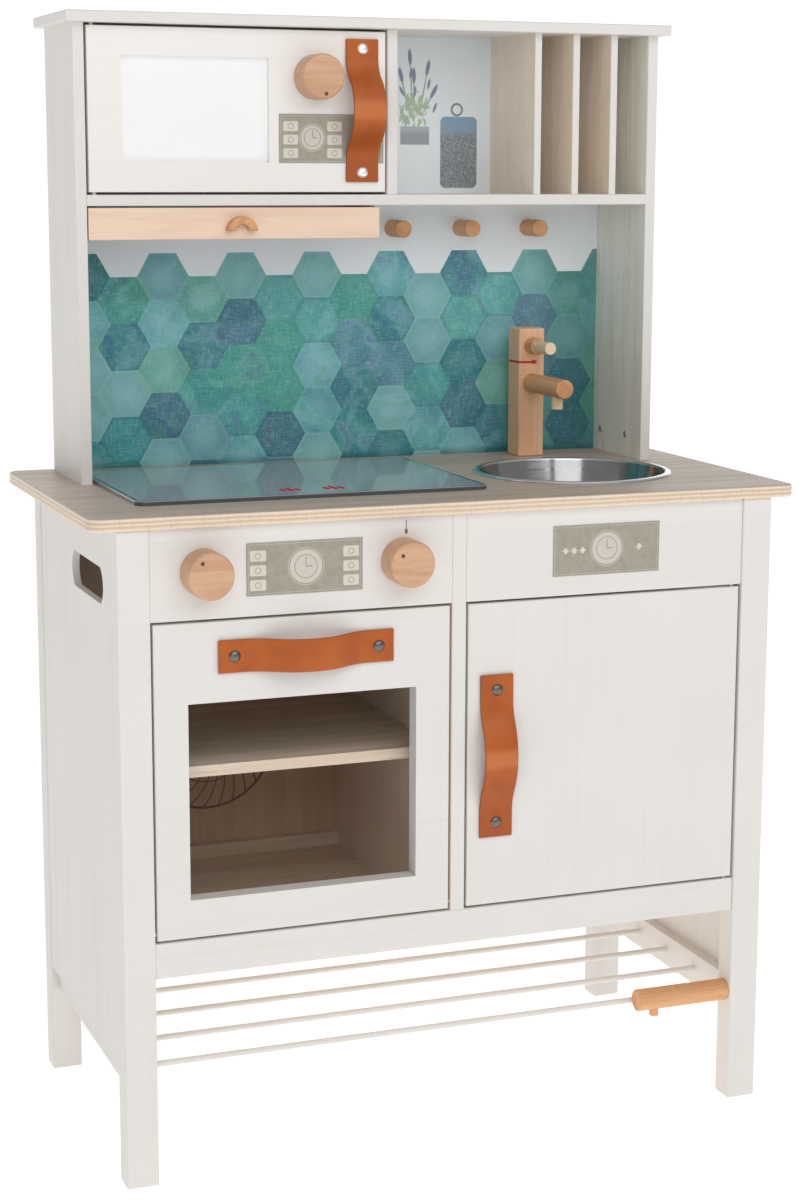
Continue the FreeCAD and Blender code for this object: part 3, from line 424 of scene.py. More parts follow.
@dataclass(frozen=True)
class PlywoodTop:
    """Taupe grained laminate over plywood whose layers show along the edges."""

    top: float
    thick: float

    def make(self) -> bpy.types.Material:
        """Build the material; layers follow the height in the board.

        Returns:
            The material.
        """
        g = Graph("worktop_laminate")
        face, height = g.wood(Grain.ACROSS, rgb(196, 180, 165), rgb(170, 153, 137), rgb(146, 127, 112), 1.0)
        long_bands = g.noise(Grain.ACROSS.stretch(24, 1.1), 3.0, 0.8)
        face = g.mix(g.step(long_bands, 0.35, 0.7, 0.0, 0.5), face, rgb(188, 171, 155))
        level = g.math("DIVIDE", g.math("SUBTRACT", self.top, g.z), self.thick)
        wobble = g.math("MULTIPLY", g.math("SUBTRACT", g.noise(30, 1.0), 0.5), 0.10)
        layer = g.ramp(g.math("ADD", level, wobble), [
            (0.0, rgb(226, 206, 184)), (0.14, rgb(240, 224, 204)), (0.34, rgb(205, 180, 154)),
            (0.5, rgb(238, 220, 198)), (0.66, rgb(208, 184, 158)), (0.86, rgb(236, 218, 196))])
        edge = g.mix(g.step(g.noise((700, 700, 90), 2.0), 0.5, 0.8, 0.0, 0.35), layer, rgb(186, 160, 134))
        colour = g.mix(g.step(g.facing[2], 0.55, 0.75), edge, face)
        g.bump(height, 0.08, 0.4)
        return g.wear(colour, g.step(height, 0.3, 0.8, 0.40, 0.52), Specular_IOR_Level=0.45)


@dataclass(frozen=True)
class Leather:
    """Smooth vegetable-tanned leather with a fine grain and darker cut edges."""

    label: str
    upright: bool = True
    crest: float | None = None

    def make(self) -> bpy.types.Material:
        """Build the material; an upright strap gets a painted highlight across its crest and painted shade
        below it.

        Returns:
            The material.
        """
        g = Graph("cognac_leather_" + self.label)
        cloud = g.noise(38, 2.0)
        tone = g.mix(g.step(cloud, 0.3, 0.75), rgb(188, 96, 30), rgb(174, 85, 27))
        cells = g.node("ShaderNodeTexVoronoi", {"Vector": g.point, "Scale": 1500.0},
                       feature="DISTANCE_TO_EDGE").outputs[0]
        creases = g.step(cells, 0.0, 0.12)
        pores = g.noise(2600, 2.0)
        tone = g.mix(g.step(creases, 0.0, 1.0, 0.22, 0.0), tone, rgb(140, 66, 28))
        if self.crest is not None:
            # Painted highlight: a paler band across the crest. Painted shade: darker below it.
            above = g.math("SUBTRACT", g.z, self.crest * MM)
            painted_crest_highlight = g.step(g.math("ABSOLUTE", above), 11.0 * MM, 3.0 * MM, 0.0, 0.5)
            tone = g.mix(painted_crest_highlight, tone, rgb(214, 130, 76))
            tone = g.mix(g.step(above, -8.0 * MM, -24.0 * MM, 0.0, 0.3), tone, rgb(140, 62, 24))
        cut = g.step(g.math("ABSOLUTE", g.facing[0 if self.upright else 2]), 0.55, 0.9, 0.0, 0.75)
        tone = g.mix(cut, tone, rgb(132, 66, 34))
        g.bump(g.math("ADD", creases, g.math("MULTIPLY", pores, 0.5)), 0.09, 0.45)
        return g.wear(tone, g.step(cloud, 0.3, 0.8, 0.34, 0.42), Specular_IOR_Level=0.3, Coat_Weight=0.1,
                      Coat_Roughness=0.3)


@dataclass(frozen=True)
class Metal:
    """Steel, nickel or the like, spun or plain.

    Attributes:
        name: Name of the finish.
        tone: Its colour.
        rough: Roughness.
        centre: Middle of the spun rings, in millimetres.
        painted_highlight_height: Height above which a painted highlight makes it pale, in metres.
    """

    name: str
    tone: Colour
    rough: float
    centre: Pair | None = None
    painted_highlight_height: float | None = None

    def make(self) -> bpy.types.Material:
        """Build the material; a centre gives it the fine rings left by spinning.

        Returns:
            The material.
        """
        g = Graph(self.name)
        if self.centre:
            flat = g.place(g.plane(g.x, g.y), (self.centre[0] * MM, self.centre[1] * MM, 0))
            lines = g.noise(1, 2.0, vector=g.plane(
                g.math("MULTIPLY", g.vector("LENGTH", flat), 1400.0), g.math("MULTIPLY", g.z, 900.0)))
        else:
            lines = g.noise(900, 2.0)
        worn = g.noise(60, 3.0)
        colour = g.mix(g.step(worn, 0.3, 0.8, 0.0, 0.25), self.tone, rgb(120, 120, 122))
        if self.painted_highlight_height is not None:
            # Painted highlight: the metal turns pale above the given height, along the rim.
            rim = g.step(g.z, self.painted_highlight_height, self.painted_highlight_height + 1.0 * MM)
            colour = g.mix(rim, colour, rgb(222, 223, 225))
        g.bump(lines, 0.02, 0.25)
        rough = g.math("ADD", g.step(lines, 0.3, 0.7, self.rough - 0.05, self.rough + 0.06),
                       g.step(worn, 0.5, 0.9, 0.0, 0.05))
        return g.wear(colour, rough, Metallic=1.0)


@dataclass(frozen=True)
class HobGlass:
    """Glossy grey plate with a dark rim line, faint zone rings and red lamps; sizes in millimetres.

    Attributes:
        low: Its lower corner.
        high: Its upper corner.
        rim: How far in the rim line starts and ends.
        lamps: Middle of each lamp.
        zones: Middle and radius of each zone.
    """

    low: Pair
    high: Pair
    rim: Pair = (1.0, 3.6)
    lamps: tuple[Pair, ...] = ((-115, -57), (-78, -57))
    zones: tuple[tuple[float, float, float], ...] = (
        (-180, 50, 42), (-180, -30, 30), (-20, 50, 34), (-20, -30, 42))

    def make(self) -> bpy.types.Material:
        """Build the material.

        Returns:
            The material.
        """
        g = Graph("hob_glass")
        flat = g.plane(g.x, g.y)
        inside = g.panel(flat, *inset(self.low, self.high, self.rim[1]), 8, 0.3)
        outer = g.panel(flat, *inset(self.low, self.high, self.rim[0]), 9, 0.3)
        dust = g.noise(300, 3.0)
        tone = g.mix(g.step(dust, 0.4, 0.8, 0.0, 0.4), rgb(172, 170, 174), rgb(190, 190, 192))
        rings = g.cover(*[g.ring(flat, (x, y), radius, 0.8) for x, y, radius in self.zones])
        tone = g.mix(g.math("MULTIPLY", rings, 0.35), tone, rgb(150, 160, 162))
        tone = g.mix(g.math("SUBTRACT", outer, inside), tone, rgb(34, 44, 48))
        glyphs = []
        for x, y in self.lamps:
            glyphs += [g.disc(flat, (x + step, y + rise), size) for step, rise, size in (
                (-6.2, -1.0, (2.6, 7.5)), (0.0, 1.0, (2.4, 12.0)), (6.2, -1.0, (2.6, 7.5)))]
        lit = g.cover(*glyphs)
        tone = g.mix(lit, tone, rgb(168, 0, 28))
        top = g.step(g.facing[2], 0.5, 0.8)
        tone = g.mix(top, rgb(70, 78, 80), tone)
        glow = g.mix(g.math("MULTIPLY", lit, top), (0, 0, 0, 1), rgb(190, 0, 30))
        unlit = g.math("SUBTRACT", 0.6, g.math("MULTIPLY", lit, 0.6))
        rough = g.math("ADD", g.step(dust, 0.3, 0.9, 0.10, 0.18), g.math("MULTIPLY", lit, 0.5))
        return g.wear(tone, rough, Specular_IOR_Level=0.4, Coat_Weight=unlit, Coat_Roughness=0.05,
                      Coat_IOR=1.6, Emission_Color=glow, Emission_Strength=0.12)


@dataclass(frozen=True)
class TilePrint:
    """Board printed with six-sided watercolour tiles under a pale wall; sizes in millimetres.

    Attributes:
        across: Where one tile's centre is.
        up: Its height.
        pitch: Width and height of the lattice's cell.
        last_row: Height over that centre up to which there are tiles.
        foot: Height up to which the foot of the board is darkened by painted shade.
        paints: Colours of the tiles.
    """

    across: float = 48.1
    up: float = 699.9
    pitch: Pair = (70.2, 40.2)
    last_row: float = 5.0
    foot: float = 535.0
    paints: tuple[tuple[int, int, int], ...] = (
        (66, 154, 160), (112, 188, 182), (72, 114, 140), (84, 170, 152), (104, 136, 166),
        (38, 122, 132), (132, 196, 202), (100, 178, 140), (54, 132, 156), (88, 160, 172))

    def make(self) -> bpy.types.Material:
        """Build the material: nearest of two lattices of tile centres, then a colour for each tile.

        Returns:
            The material.
        """
        g = Graph("tile_print")
        wide, tall = self.pitch[0] * MM, self.pitch[1] * MM
        flat = g.place(g.plane(g.x, g.z), (self.across * MM, self.up * MM, 0))
        half = (wide / 2, tall / 2, 0)
        near = g.vector("SNAP", g.vector("ADD", flat, half), (wide, tall, 1))
        other = g.vector("ADD", g.vector("SNAP", flat, (wide, tall, 1)), half)
        off_near, off_other = g.vector("SUBTRACT", flat, near), g.vector("SUBTRACT", flat, other)
        swap = g.math("GREATER_THAN", g.vector("LENGTH", off_near), g.vector("LENGTH", off_other))
        centre, offset = g.mix(swap, near, other), g.mix(swap, off_near, off_other)
        off_x, off_z, _ = g.split(g.vector("ABSOLUTE", offset))
        slope = g.math("ADD", g.math("MULTIPLY", off_x, math.sqrt(0.75)), g.math("MULTIPLY", off_z, 0.5))
        edge = g.math("DIVIDE", g.math("MAXIMUM", off_z, slope), tall / 2)
        code = g.vector("SNAP", g.vector("ADD", centre, (0.0022, 0.0022, 0)), (0.005, 0.005, 1))
        picks = g.node("ShaderNodeTexWhiteNoise", {0: code}, noise_dimensions="3D")
        pick, (red, green, _) = picks.outputs[0], g.split(picks.outputs[1])
        share = 1 / len(self.paints)
        tile = g.ramp(pick, [(n * share, rgb(*paint)) for n, paint in enumerate(self.paints)], hard=True)
        wash = g.noise(26, 4.0, 1.5)
        field_tone = g.ramp(wash, [
            (0.28, rgb(64, 116, 156)), (0.42, rgb(40, 146, 156)), (0.52, rgb(74, 172, 166)),
            (0.62, rgb(126, 192, 202)), (0.75, rgb(104, 122, 168))])
        tone = g.mix(g.step(green, 0.0, 1.0, 0.40, 0.78), field_tone, tile)
        both_ways = g.math("ADD", g.noise((700, 700, 130), 3.0), g.noise((130, 700, 700), 3.0))
        strokes = g.math("MULTIPLY", both_ways, 0.5)
        tone = g.mix(g.step(strokes, 0.46, 0.72, 0.0, 0.42), tone, rgb(180, 220, 224))
        tone = g.mix(g.step(strokes, 0.48, 0.30, 0.0, 0.26), tone, rgb(40, 104, 124))
        blots = g.noise(85, 4.0, 0.8)
        tone = g.mix(g.step(blots, 0.5, 0.8, 0.0, 0.32), tone, rgb(58, 116, 138))
        moss = g.noise(48, 3.0, 1.2)
        tone = g.mix(g.step(moss, 0.55, 0.72, 0.0, 0.28), tone, rgb(96, 172, 112))
        # Painted shade: a dark band along the foot of the board, where it meets the hob.
        foot = g.step(g.z, self.foot * MM, (self.foot + 9.0) * MM, 0.7, 0.0)
        tone = g.mix(foot, tone, rgb(8, 84, 88))
        clear = g.step(red, 0.66, 0.9)
        tone = g.mix(g.math("MULTIPLY", clear, 0.45), tone, rgb(160, 212, 208))
        rim = g.math("MULTIPLY", g.step(edge, 0.90, 0.97), g.step(red, 0.5, 0.95, 0.0, 0.42))
        glow = g.math("MULTIPLY", g.step(edge, 0.9, 0.15), g.step(red, 0.35, 0.8, 0.0, 0.34))
        tone = g.mix(glow, tone, rgb(164, 216, 220))
        tone = g.mix(g.math("MULTIPLY", rim, 0.4), tone, rgb(176, 216, 206))
        # Painted shade: the tiles darken towards the right, in the shadow of the tap and the hutch side.
        tone = g.mix(g.step(g.x, 0.165, 0.225, 0.0, 0.4), tone, rgb(12, 92, 100))
        dark_rim = g.math("MULTIPLY", g.step(edge, 0.80, 1.0), g.step(pick, 0.0, 0.5, 0.35, 0.0))
        tone = g.mix(dark_rim, tone, rgb(44, 92, 108))
        wall = g.mix(g.step(g.noise(14, 3.0), 0.3, 0.8), rgb(240, 248, 253), rgb(247, 251, 254))
        _, row, _ = g.split(centre)
        tone = g.mix(g.math("GREATER_THAN", row, self.last_row * MM), tone, wall)
        tone = g.mix(g.step(g.facing[1], -0.2, -0.6), rgb(196, 172, 140), tone)
        g.bump(strokes, 0.05, 0.3)
        return g.wear(tone, g.step(strokes, 0.3, 0.8, 0.34, 0.46), Specular_IOR_Level=0.45)


@dataclass(frozen=True)
class NichePrint:
    """Pale board printed with a chopping board and a potted herb, with its sprigs' tips and root."""

    sprigs: tuple[Pair, ...] = (
        (65.4, 889.7), (69.2, 873.6), (82.5, 880.6), (88.3, 860), (56.9, 874))
    root: Pair = (70, 838)

    def make(self) -> bpy.types.Material:
        """Build the material.

        Returns:
            The material.
        """
        g = Graph("niche_print")
        flat = g.plane(g.x, g.z)
        tone = g.mix(g.step(g.noise(16, 3.0), 0.3, 0.8), rgb(232, 241, 247), rgb(243, 247, 250))
        root, soil = self.root
        for index, (across, up) in enumerate(self.sprigs):
            lean = 0.12 * (index - 2)
            foot = root + (across - root) * 0.35
            middle, reach = ((across + foot) / 2, (up + soil) / 2), (up - soil) / 2
            lean_stem = math.atan2(foot - across, up - soil)
            tone = g.mix(g.disc(flat, middle, (0.6, reach), lean_stem, 0.3), tone, rgb(150, 174, 150))
            tone = g.mix(g.disc(flat, (across, up), (1.8, 6.8), lean_stem, 0.25), tone, rgb(138, 142, 166))
            lower = g.disc(flat, (across + 1, up - 14), (1.3, 4.6), lean_stem + lean, 0.25)
            tone = g.mix(lower, tone, rgb(142, 150, 172))
        bush = g.math("ADD", g.noise((240, 240, 130), 3.0, 0.6), g.math("MULTIPLY", g.disc(
            flat, (70.5, 843), (15, 18), soft=0.45), 0.3))
        leaves = g.step(bush, 0.72, 0.80)
        tone = g.mix(leaves, tone, g.mix(g.noise(500), rgb(150, 180, 150), rgb(200, 216, 188)))
        pot = g.panel(flat, (56.5, 813.5), (84, 829.5), 1.0)
        tone = g.mix(pot, tone, g.mix(g.step(g.z, 0.823, 0.827), rgb(160, 168, 178), rgb(180, 188, 196)))
        slab = g.panel(flat, (94.7, 775.5), (130, 838.3), 5.0)
        speckle = g.step(g.noise(900, 3.0), 0.42, 0.6)
        ends = g.step(g.z, 0.818, 0.828)
        face = g.mix(ends, g.mix(speckle, rgb(124, 130, 138), rgb(164, 169, 174)), rgb(142, 168, 190))
        tone = g.mix(slab, tone, face)
        tone = g.mix(g.ring(flat, (110.5, 844.5), 5.0, 1.8), tone, rgb(128, 136, 144))
        tone = g.mix(g.step(g.facing[1], -0.2, -0.6), rgb(196, 172, 140), tone)
        return g.wear(tone, g.step(g.noise(300), 0.3, 0.8, 0.40, 0.5), Specular_IOR_Level=0.4)


@dataclass(frozen=True)
class BackBoard:
    """Thin backing board, bare behind the oven, where a fan grille is printed."""

    centre: Pair = (-129, 285)
    radius: float = 62.0
    blades: int = 28

    def make(self) -> bpy.types.Material:
        """Build the material.

        Returns:
            The material.
        """
        g = Graph("back_board")
        tone, height = g.wood(Grain.UPRIGHT, rgb(226, 200, 180), rgb(208, 178, 156), rgb(180, 148, 128), 0.5)
        flat = g.plane(g.x, g.z)
        unit = g.place(flat, (self.centre[0] * MM, self.centre[1] * MM, 0), 0.0, (MM, MM, 1))
        away = g.vector("LENGTH", unit)
        off_x, off_z, _ = g.split(unit)
        angle = g.math("ADD", g.math("ARCTAN2", off_z, off_x), g.math("MULTIPLY", away, 0.012))
        wave = g.math("SINE", g.math("MULTIPLY", angle, self.blades / 2))
        spokes = g.step(g.math("ABSOLUTE", wave), 0.26, 0.14)
        inside = g.math("MULTIPLY", g.step(away, self.radius, self.radius - 0.8), g.step(away, 14.0, 15.0))
        grille = g.cover(g.math("MULTIPLY", spokes, inside), *[
            g.ring(flat, self.centre, radius, width)
            for radius, width in ((self.radius, 2.4), (15.0, 1.6), (38.0, 1.2))])
        front = g.step(g.facing[1], -0.2, -0.6)
        tone = g.mix(g.math("MULTIPLY", g.math("MULTIPLY", grille, front), 0.75), tone, rgb(112, 98, 88))
        g.bump(height, 0.1, 0.4)
        return g.wear(tone, g.step(height, 0.2, 0.8, 0.55, 0.7), Specular_IOR_Level=0.3)


@dataclass(frozen=True)
class ControlPrint:
    """Grey-olive plate printed with a dial and small cream keys; sizes in millimetres.

    Attributes:
        name: Name of the finish.
        low: Its lower corner.
        high: Its upper corner.
        dial: Middle and radius of the dial.
        columns: Left edge of each column of keys.
        dots: Middle of each round key.
    """

    name: str
    low: Pair
    high: Pair
    dial: tuple[float, float, float]
    columns: tuple[float, ...] = ()
    dots: tuple[Pair, ...] = ()

    def make(self) -> bpy.types.Material:
        """Build the material.

        Returns:
            The material.
        """
        g = Graph(self.name)
        flat = g.plane(g.x, g.z)
        ground = g.mix(g.step(g.noise(220, 3.0), 0.35, 0.75), rgb(164, 158, 144), rgb(154, 148, 134))
        frame_line = g.math("SUBTRACT", g.panel(flat, *inset(self.low, self.high, 1.4)),
                            g.panel(flat, *inset(self.low, self.high, 1.9)))
        tone = g.mix(g.math("MULTIPLY", frame_line, 0.5), ground, rgb(205, 200, 186))
        cream = rgb(214, 207, 196)
        across, up, radius = self.dial
        tone = g.mix(g.disc(flat, (across, up), (radius, radius), soft=0.03), tone, rgb(204, 198, 186))
        dial_lines = g.cover(g.ring(flat, (across, up), radius - 1.0, 1.0),
                             g.ring(flat, (across, up), radius * 0.62, 0.7),
                             g.panel(flat, (across - 0.4, up), (across + 0.4, up + radius * 0.5), 0.1, 0.2),
                             g.panel(flat, (across, up - 0.4), (across + radius * 0.34, up + 0.4), 0.1, 0.2))
        tone = g.mix(dial_lines, tone, rgb(160, 154, 138))
        keys, marks = [], []
        pitch = (self.high[1] - self.low[1] - 7.0) / 3
        for left in self.columns:
            for row in range(3):
                base = self.low[1] + 4.0 + row * pitch
                keys.append(g.panel(flat, (left, base), (left + 13.0, base + pitch - 3.0), 1.2))
                marks.append(g.ring(flat, (left + 6.5, base + (pitch - 3.0) / 2), 2.2, 0.7))
        for x, z in self.dots:
            keys.append(g.disc(flat, (x, z), (1.8, 2.6)))
            keys.append(g.panel(flat, (x - 3.2, z - 0.35), (x + 3.2, z + 0.35), 0.1, 0.2))
        tone = g.mix(g.cover(*keys), tone, cream)
        if marks:
            tone = g.mix(g.cover(*marks), tone, rgb(176, 160, 146))
        return g.wear(tone, g.step(g.noise(500), 0.3, 0.8, 0.34, 0.44), Specular_IOR_Level=0.45)


@dataclass(frozen=True)
class SilverPane:
    """Bright silvered acrylic pane, with a faint painted glow of its own."""

    def make(self) -> bpy.types.Material:
        """Build the material.

        Returns:
            The material.
        """
        g = Graph("silver_pane")
        haze = g.noise(24, 3.0)
        tone = g.mix(g.step(haze, 0.3, 0.8), rgb(255, 255, 255), rgb(250, 251, 254))
        g.bump(g.noise(40, 2.0), 0.05, 0.2)
        # Painted light: a faint glow of its own brightens the pane.
        return g.wear(tone, g.step(haze, 0.3, 0.8, 0.12, 0.2), Metallic=0.25, Coat_Weight=0.5,
                      Coat_Roughness=0.05, Emission_Strength=0.1)


@dataclass(frozen=True)
class BoxPlastic:
    """Black moulded plastic with a fine spark texture."""

    def make(self) -> bpy.types.Material:
        """Build the material.

        Returns:
            The material.
        """
        g = Graph("moulded_black")
        spark = g.noise(1200, 2.0)
        g.bump(spark, 0.04, 0.5)
        return g.wear(g.mix(spark, rgb(34, 34, 36), rgb(52, 52, 54)), 0.55)


def dress(material: bpy.types.Material, *nodes: str) -> None:
    """Give a material to whole nodes of the frame.

    Args:
        material: The finish.
        nodes: Names of the nodes.
    """
    for name in nodes:
        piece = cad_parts[name]
        if not piece.material_slots:
            piece.data.materials.append(material)
        for place in piece.material_slots:
            place.link = "OBJECT"
            place.material = material
    LOG.info("%s on %s", material.name, ", ".join(nodes))


@cache
def plain_paint(grain: Grain) -> bpy.types.Material:
    """The same washed paint on every board whose grain runs one way."""
    return WashedPaint(grain).make()


BEECH = dict(light=rgb(212, 170, 138), dark=rgb(194, 146, 110), pores=rgb(158, 108, 76))
# Painted light: the tap's beech is lightened to lift the shade it stands in, inside the alcove.
LIT_TAP_BEECH = dict(light=rgb(240, 194, 156), dark=rgb(220, 168, 128), pores=rgb(178, 126, 90))
BIRCH = dict(light=rgb(246, 222, 188), dark=rgb(230, 198, 158), pores=rgb(200, 160, 118))
DOWEL = dict(light=rgb(226, 172, 124), dark=rgb(200, 142, 96), pores=rgb(156, 102, 64))
PLANK = dict(light=rgb(243, 215, 192), dark=rgb(232, 198, 171), pores=rgb(210, 169, 134))
PLY = dict(light=rgb(232, 216, 198), dark=rgb(214, 194, 172), pores=rgb(184, 160, 136))


@dataclass
class BaseFrame:
    """Legs, boards, rack and worktop under the hutch."""

    upright: tuple[str, ...] = ("leg_front_left", "leg_front_right", "leg_rear_left", "leg_rear_right",
                                "side_panel_left", "side_panel_right", "door_stops")
    across: tuple[str, ...] = ("fascia_right", "front_apron", "rack_rods")
    deep: tuple[str, ...] = ("lower_rail_left", "lower_rail_right")

    def dress(self) -> None:
        """Paint, plywood, laminate and dowels."""
        dress(plain_paint(Grain.UPRIGHT), *self.upright)
        # Painted light: the partition's side faces take a warm pale tone for the light bounced about inside
        # the oven.
        dress(WashedPaint(inside=rgb(244, 226, 210), label="oven_wall").make(), "centre_partition")
        dress(plain_paint(Grain.ACROSS), *self.across)
        dress(plain_paint(Grain.DEEP), *self.deep)
        dress(WashedPaint(Grain.ACROSS, pointer=(-45.5, 513.0), label="pointer").make(), "fascia_left")
        dress(BareWood("bare_plywood", grain=Grain.ACROSS, rough=0.6, **PLY).make(),
              "cabinet_floor", "oven_shelf", "shelf_battens")
        dress(BackBoard().make(), "lower_back_panel")
        low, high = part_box("worktop")
        dress(PlywoodTop(high.z, high.z - low.z).make(), "worktop")
        dress(BareWood("towel_dowel", grain=Grain.ACROSS, **DOWEL).make(), "towel_peg")


class Hutch:
    """Upper cupboard with its niche, plate slots, pegs and pull-out hood."""

    def dress(self) -> None:
        """Paint the boards and print the two back panels."""
        dress(plain_paint(Grain.UPRIGHT), "hutch_side_left")
        # Painted light: the right side's inner face is lightened to lift the shade in the alcove.
        side = WashedPaint(inside=rgb(246, 248, 240), left_only=True, label="right_side")
        dress(side.make(), "hutch_side_right")
        # Painted light: the divider's side faces are lightened to lift the shade in the niche and the
        # microwave.
        dress(WashedPaint(inside=rgb(248, 244, 234), label="niche_wall").make(), "microwave_divider")
        dress(plain_paint(Grain.ACROSS), "hutch_roof", "hutch_shelf", "hood_tray", "hood_runners")
        dress(WashedPaint(inside=rgb(244, 230, 212), label="plate_slots").make(), "rack_dividers")
        dress(TilePrint().make(), "splash_panel")
        dress(NichePrint().make(), "hutch_back_panel")
        dress(BareWood("visor_plank", grain=Grain.ACROSS, figure=0.8, **PLANK).make(), "hood_visor")
        dress(BareWood("peg_dowel", grain=Grain.DEEP, **DOWEL).make(), "hood_pull", "utensil_pegs")


class HobSinkTap:
    """What stands on the worktop."""

    def dress(self) -> None:
        """Glass, steel and turned wood."""
        low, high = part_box("hob_glass")
        dress(HobGlass((low.x / MM, low.y / MM), (high.x / MM, high.y / MM)).make(), "hob_glass")
        dress(BoxPlastic().make(), "hob_battery_box")
        low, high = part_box("sink_basin")
        centre = ((low.x + high.x) / 2 / MM, (low.y + high.y) / 2 / MM)
        # The steel's grey is darkened to paint in the dark reflections inside the basin.
        dress(Metal("spun_steel", rgb(156, 156, 158), 0.13, centre, high.z - 2.4 * MM).make(), "sink_basin")
        post = BareWood("tap_beech", grain=Grain.UPRIGHT, line_height=620.7, line_end=170.0, **LIT_TAP_BEECH)
        dress(post.make(), "tap_column")
        dress(BareWood("turned_beech", grain=Grain.DEEP, **DOWEL).make(), "tap_spout", "tap_lever")
        dress(BareWood("birch_pin", grain=Grain.DEEP, **BIRCH).make(), "tap_outlet", "tap_lever_pin")


class Side(Enum):
    """Which way a leather pull runs on its door."""

    LEVEL = 0
    UPRIGHT = 2


@dataclass
class LeatherPull:
    """A leather strap that bows out from a door between two rivets.

    Attributes:
        node: The frame's node that it stands for.
        body: The door it rides on.
        run: The way it runs.
        flat: Length of each flat end, in millimetres.
        steps: Rows of faces along it.
        thick: Thickness of the leather, in metres.
    """

    node: str
    body: str
    run: Side
    flat: float
    steps: int = 96
    thick: float = 3.0 * MM

    def bow(self, along: float, length: float, rise: float) -> float:
        """Height of the strap's inner face above the door: flat ends, a foot and a crown of tangent arcs.

        Args:
            along: Distance from the strap's start, in metres.
            length: Length of the strap, in metres.
            rise: Height of its crown, in metres.

        Returns:
            The height, in metres.
        """
        flat = self.flat * MM
        reach = length / 2 - flat
        angle = 2 * math.atan(rise / reach)
        total = reach / math.sin(angle)
        foot, crown = 0.42 * total, 0.58 * total
        place = min(along, length - along)
        if place <= flat:
            return 0.0
        if place <= flat + foot * math.sin(angle):
            return foot - math.sqrt(foot ** 2 - (place - flat) ** 2)
        return rise - crown + math.sqrt(crown ** 2 - (length / 2 - place) ** 2)

    def build(self) -> bpy.types.Object:
        """Shape the strap from a grid, then finish it and put it on its door.

        Returns:
            The finished strap.
        """
        low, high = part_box(self.node)
        axis, other = self.run.value, 2 - self.run.value
        length, width = high[axis] - low[axis], high[other] - low[other]
        rise = high.y - low.y - self.thick
        bpy.ops.object.select_all(action="DESELECT")
        bpy.ops.mesh.primitive_grid_add(x_subdivisions=self.steps, y_subdivisions=8, size=1)
        strap = bpy.context.object
        strap.name = self.node.replace("_strap", "_leather_pull")
        bpy.ops.object.mode_set(mode="EDIT")
        bpy.ops.mesh.select_all(action="SELECT")
        bpy.ops.transform.resize(value=(length, width, 1))
        bpy.ops.object.mode_set(mode="OBJECT")
        for vertex in strap.data.vertices:
            along, side = vertex.co.x + length / 2, vertex.co.y
            out = self.bow(along, length, rise)
            crown = 0.35 * MM * (1 - (2 * side / width) ** 2) * min(1.0, out / (4 * MM))
            place = [0.0, high.y - out - self.thick / 2 - crown, 0.0]
            place[axis] = low[axis] + along
            place[other] = (low[other] + high[other]) / 2 + side * (1 if axis == 0 else -1)
            vertex.co = place
        upright = self.run is Side.UPRIGHT
        crest = (low.z + high.z) / 2 / MM if upright else None
        self.finish(strap, Leather(self.body, upright, crest))
        return strap

    def finish(self, strap: bpy.types.Object, leather: Leather) -> None:
        """Thicken and round the strap, then dress it and hand it to its door.

        Args:
            strap: The shaped sheet.
            leather: Its finish.
        """
        thicken = dict(thickness=self.thick - 0.7 * MM, offset=0.0)
        edges = dict(width=0.75 * MM, segments=3, limit_method="ANGLE", angle_limit=1.0)
        for kind, settings in (("SOLIDIFY", thicken), ("BEVEL", edges)):
            modifier = strap.modifiers.new(kind.title(), kind)
            for name, value in settings.items():
                setattr(modifier, name, value)
            bpy.ops.object.modifier_apply(modifier=modifier.name)
        bpy.ops.object.shade_smooth()
        strap.data.materials.append(leather.make())
        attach(strap, self.body)
        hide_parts(self.node)
        LOG.info("%s rides on %s", strap.name, self.body)


@dataclass
class Doors:
    """The three doors with their pulls, rivets, pane and printed plates."""

    pulls: tuple[LeatherPull, ...] = (
        LeatherPull("oven_strap", "oven_door", Side.LEVEL, 20),
        LeatherPull("cabinet_strap", "cabinet_door", Side.UPRIGHT, 20),
        LeatherPull("microwave_strap", "microwave_door", Side.UPRIGHT, 15))

    def build(self) -> None:
        """Make the pulls and dress the doors."""
        for pull in self.pulls:
            pull.build()
        # Painted light: the microwave door gets a lighter copy of the paint, for the extra light on the upper
        # door.
        bright = WashedPaint(Grain.ACROSS, rgb(240, 237, 233), rgb(232, 228, 222), label="microwave")
        dress(bright.make(), "microwave_door")
        dress(plain_paint(Grain.ACROSS), "oven_door")
        dress(plain_paint(Grain.UPRIGHT), "cabinet_door")
        dress(SilverPane().make(), "microwave_window")
        # Painted light: the rivets are one metal, with a dark copy for those in shade on the lower doors and
        # a near-white copy for the microwave's, which catch the light.
        dark = Metal("shaded_rivet_metal", rgb(118, 112, 106), 0.32).make()
        dress(dark, "oven_rivets", "cabinet_rivets")
        dress(Metal("lit_rivet_metal", rgb(250, 250, 250), 0.4).make(), "microwave_rivets", "door_magnets")
        dress(Metal("bright_pin", rgb(216, 216, 214), 0.42).make(), "hinge_pins", "hutch_screws")


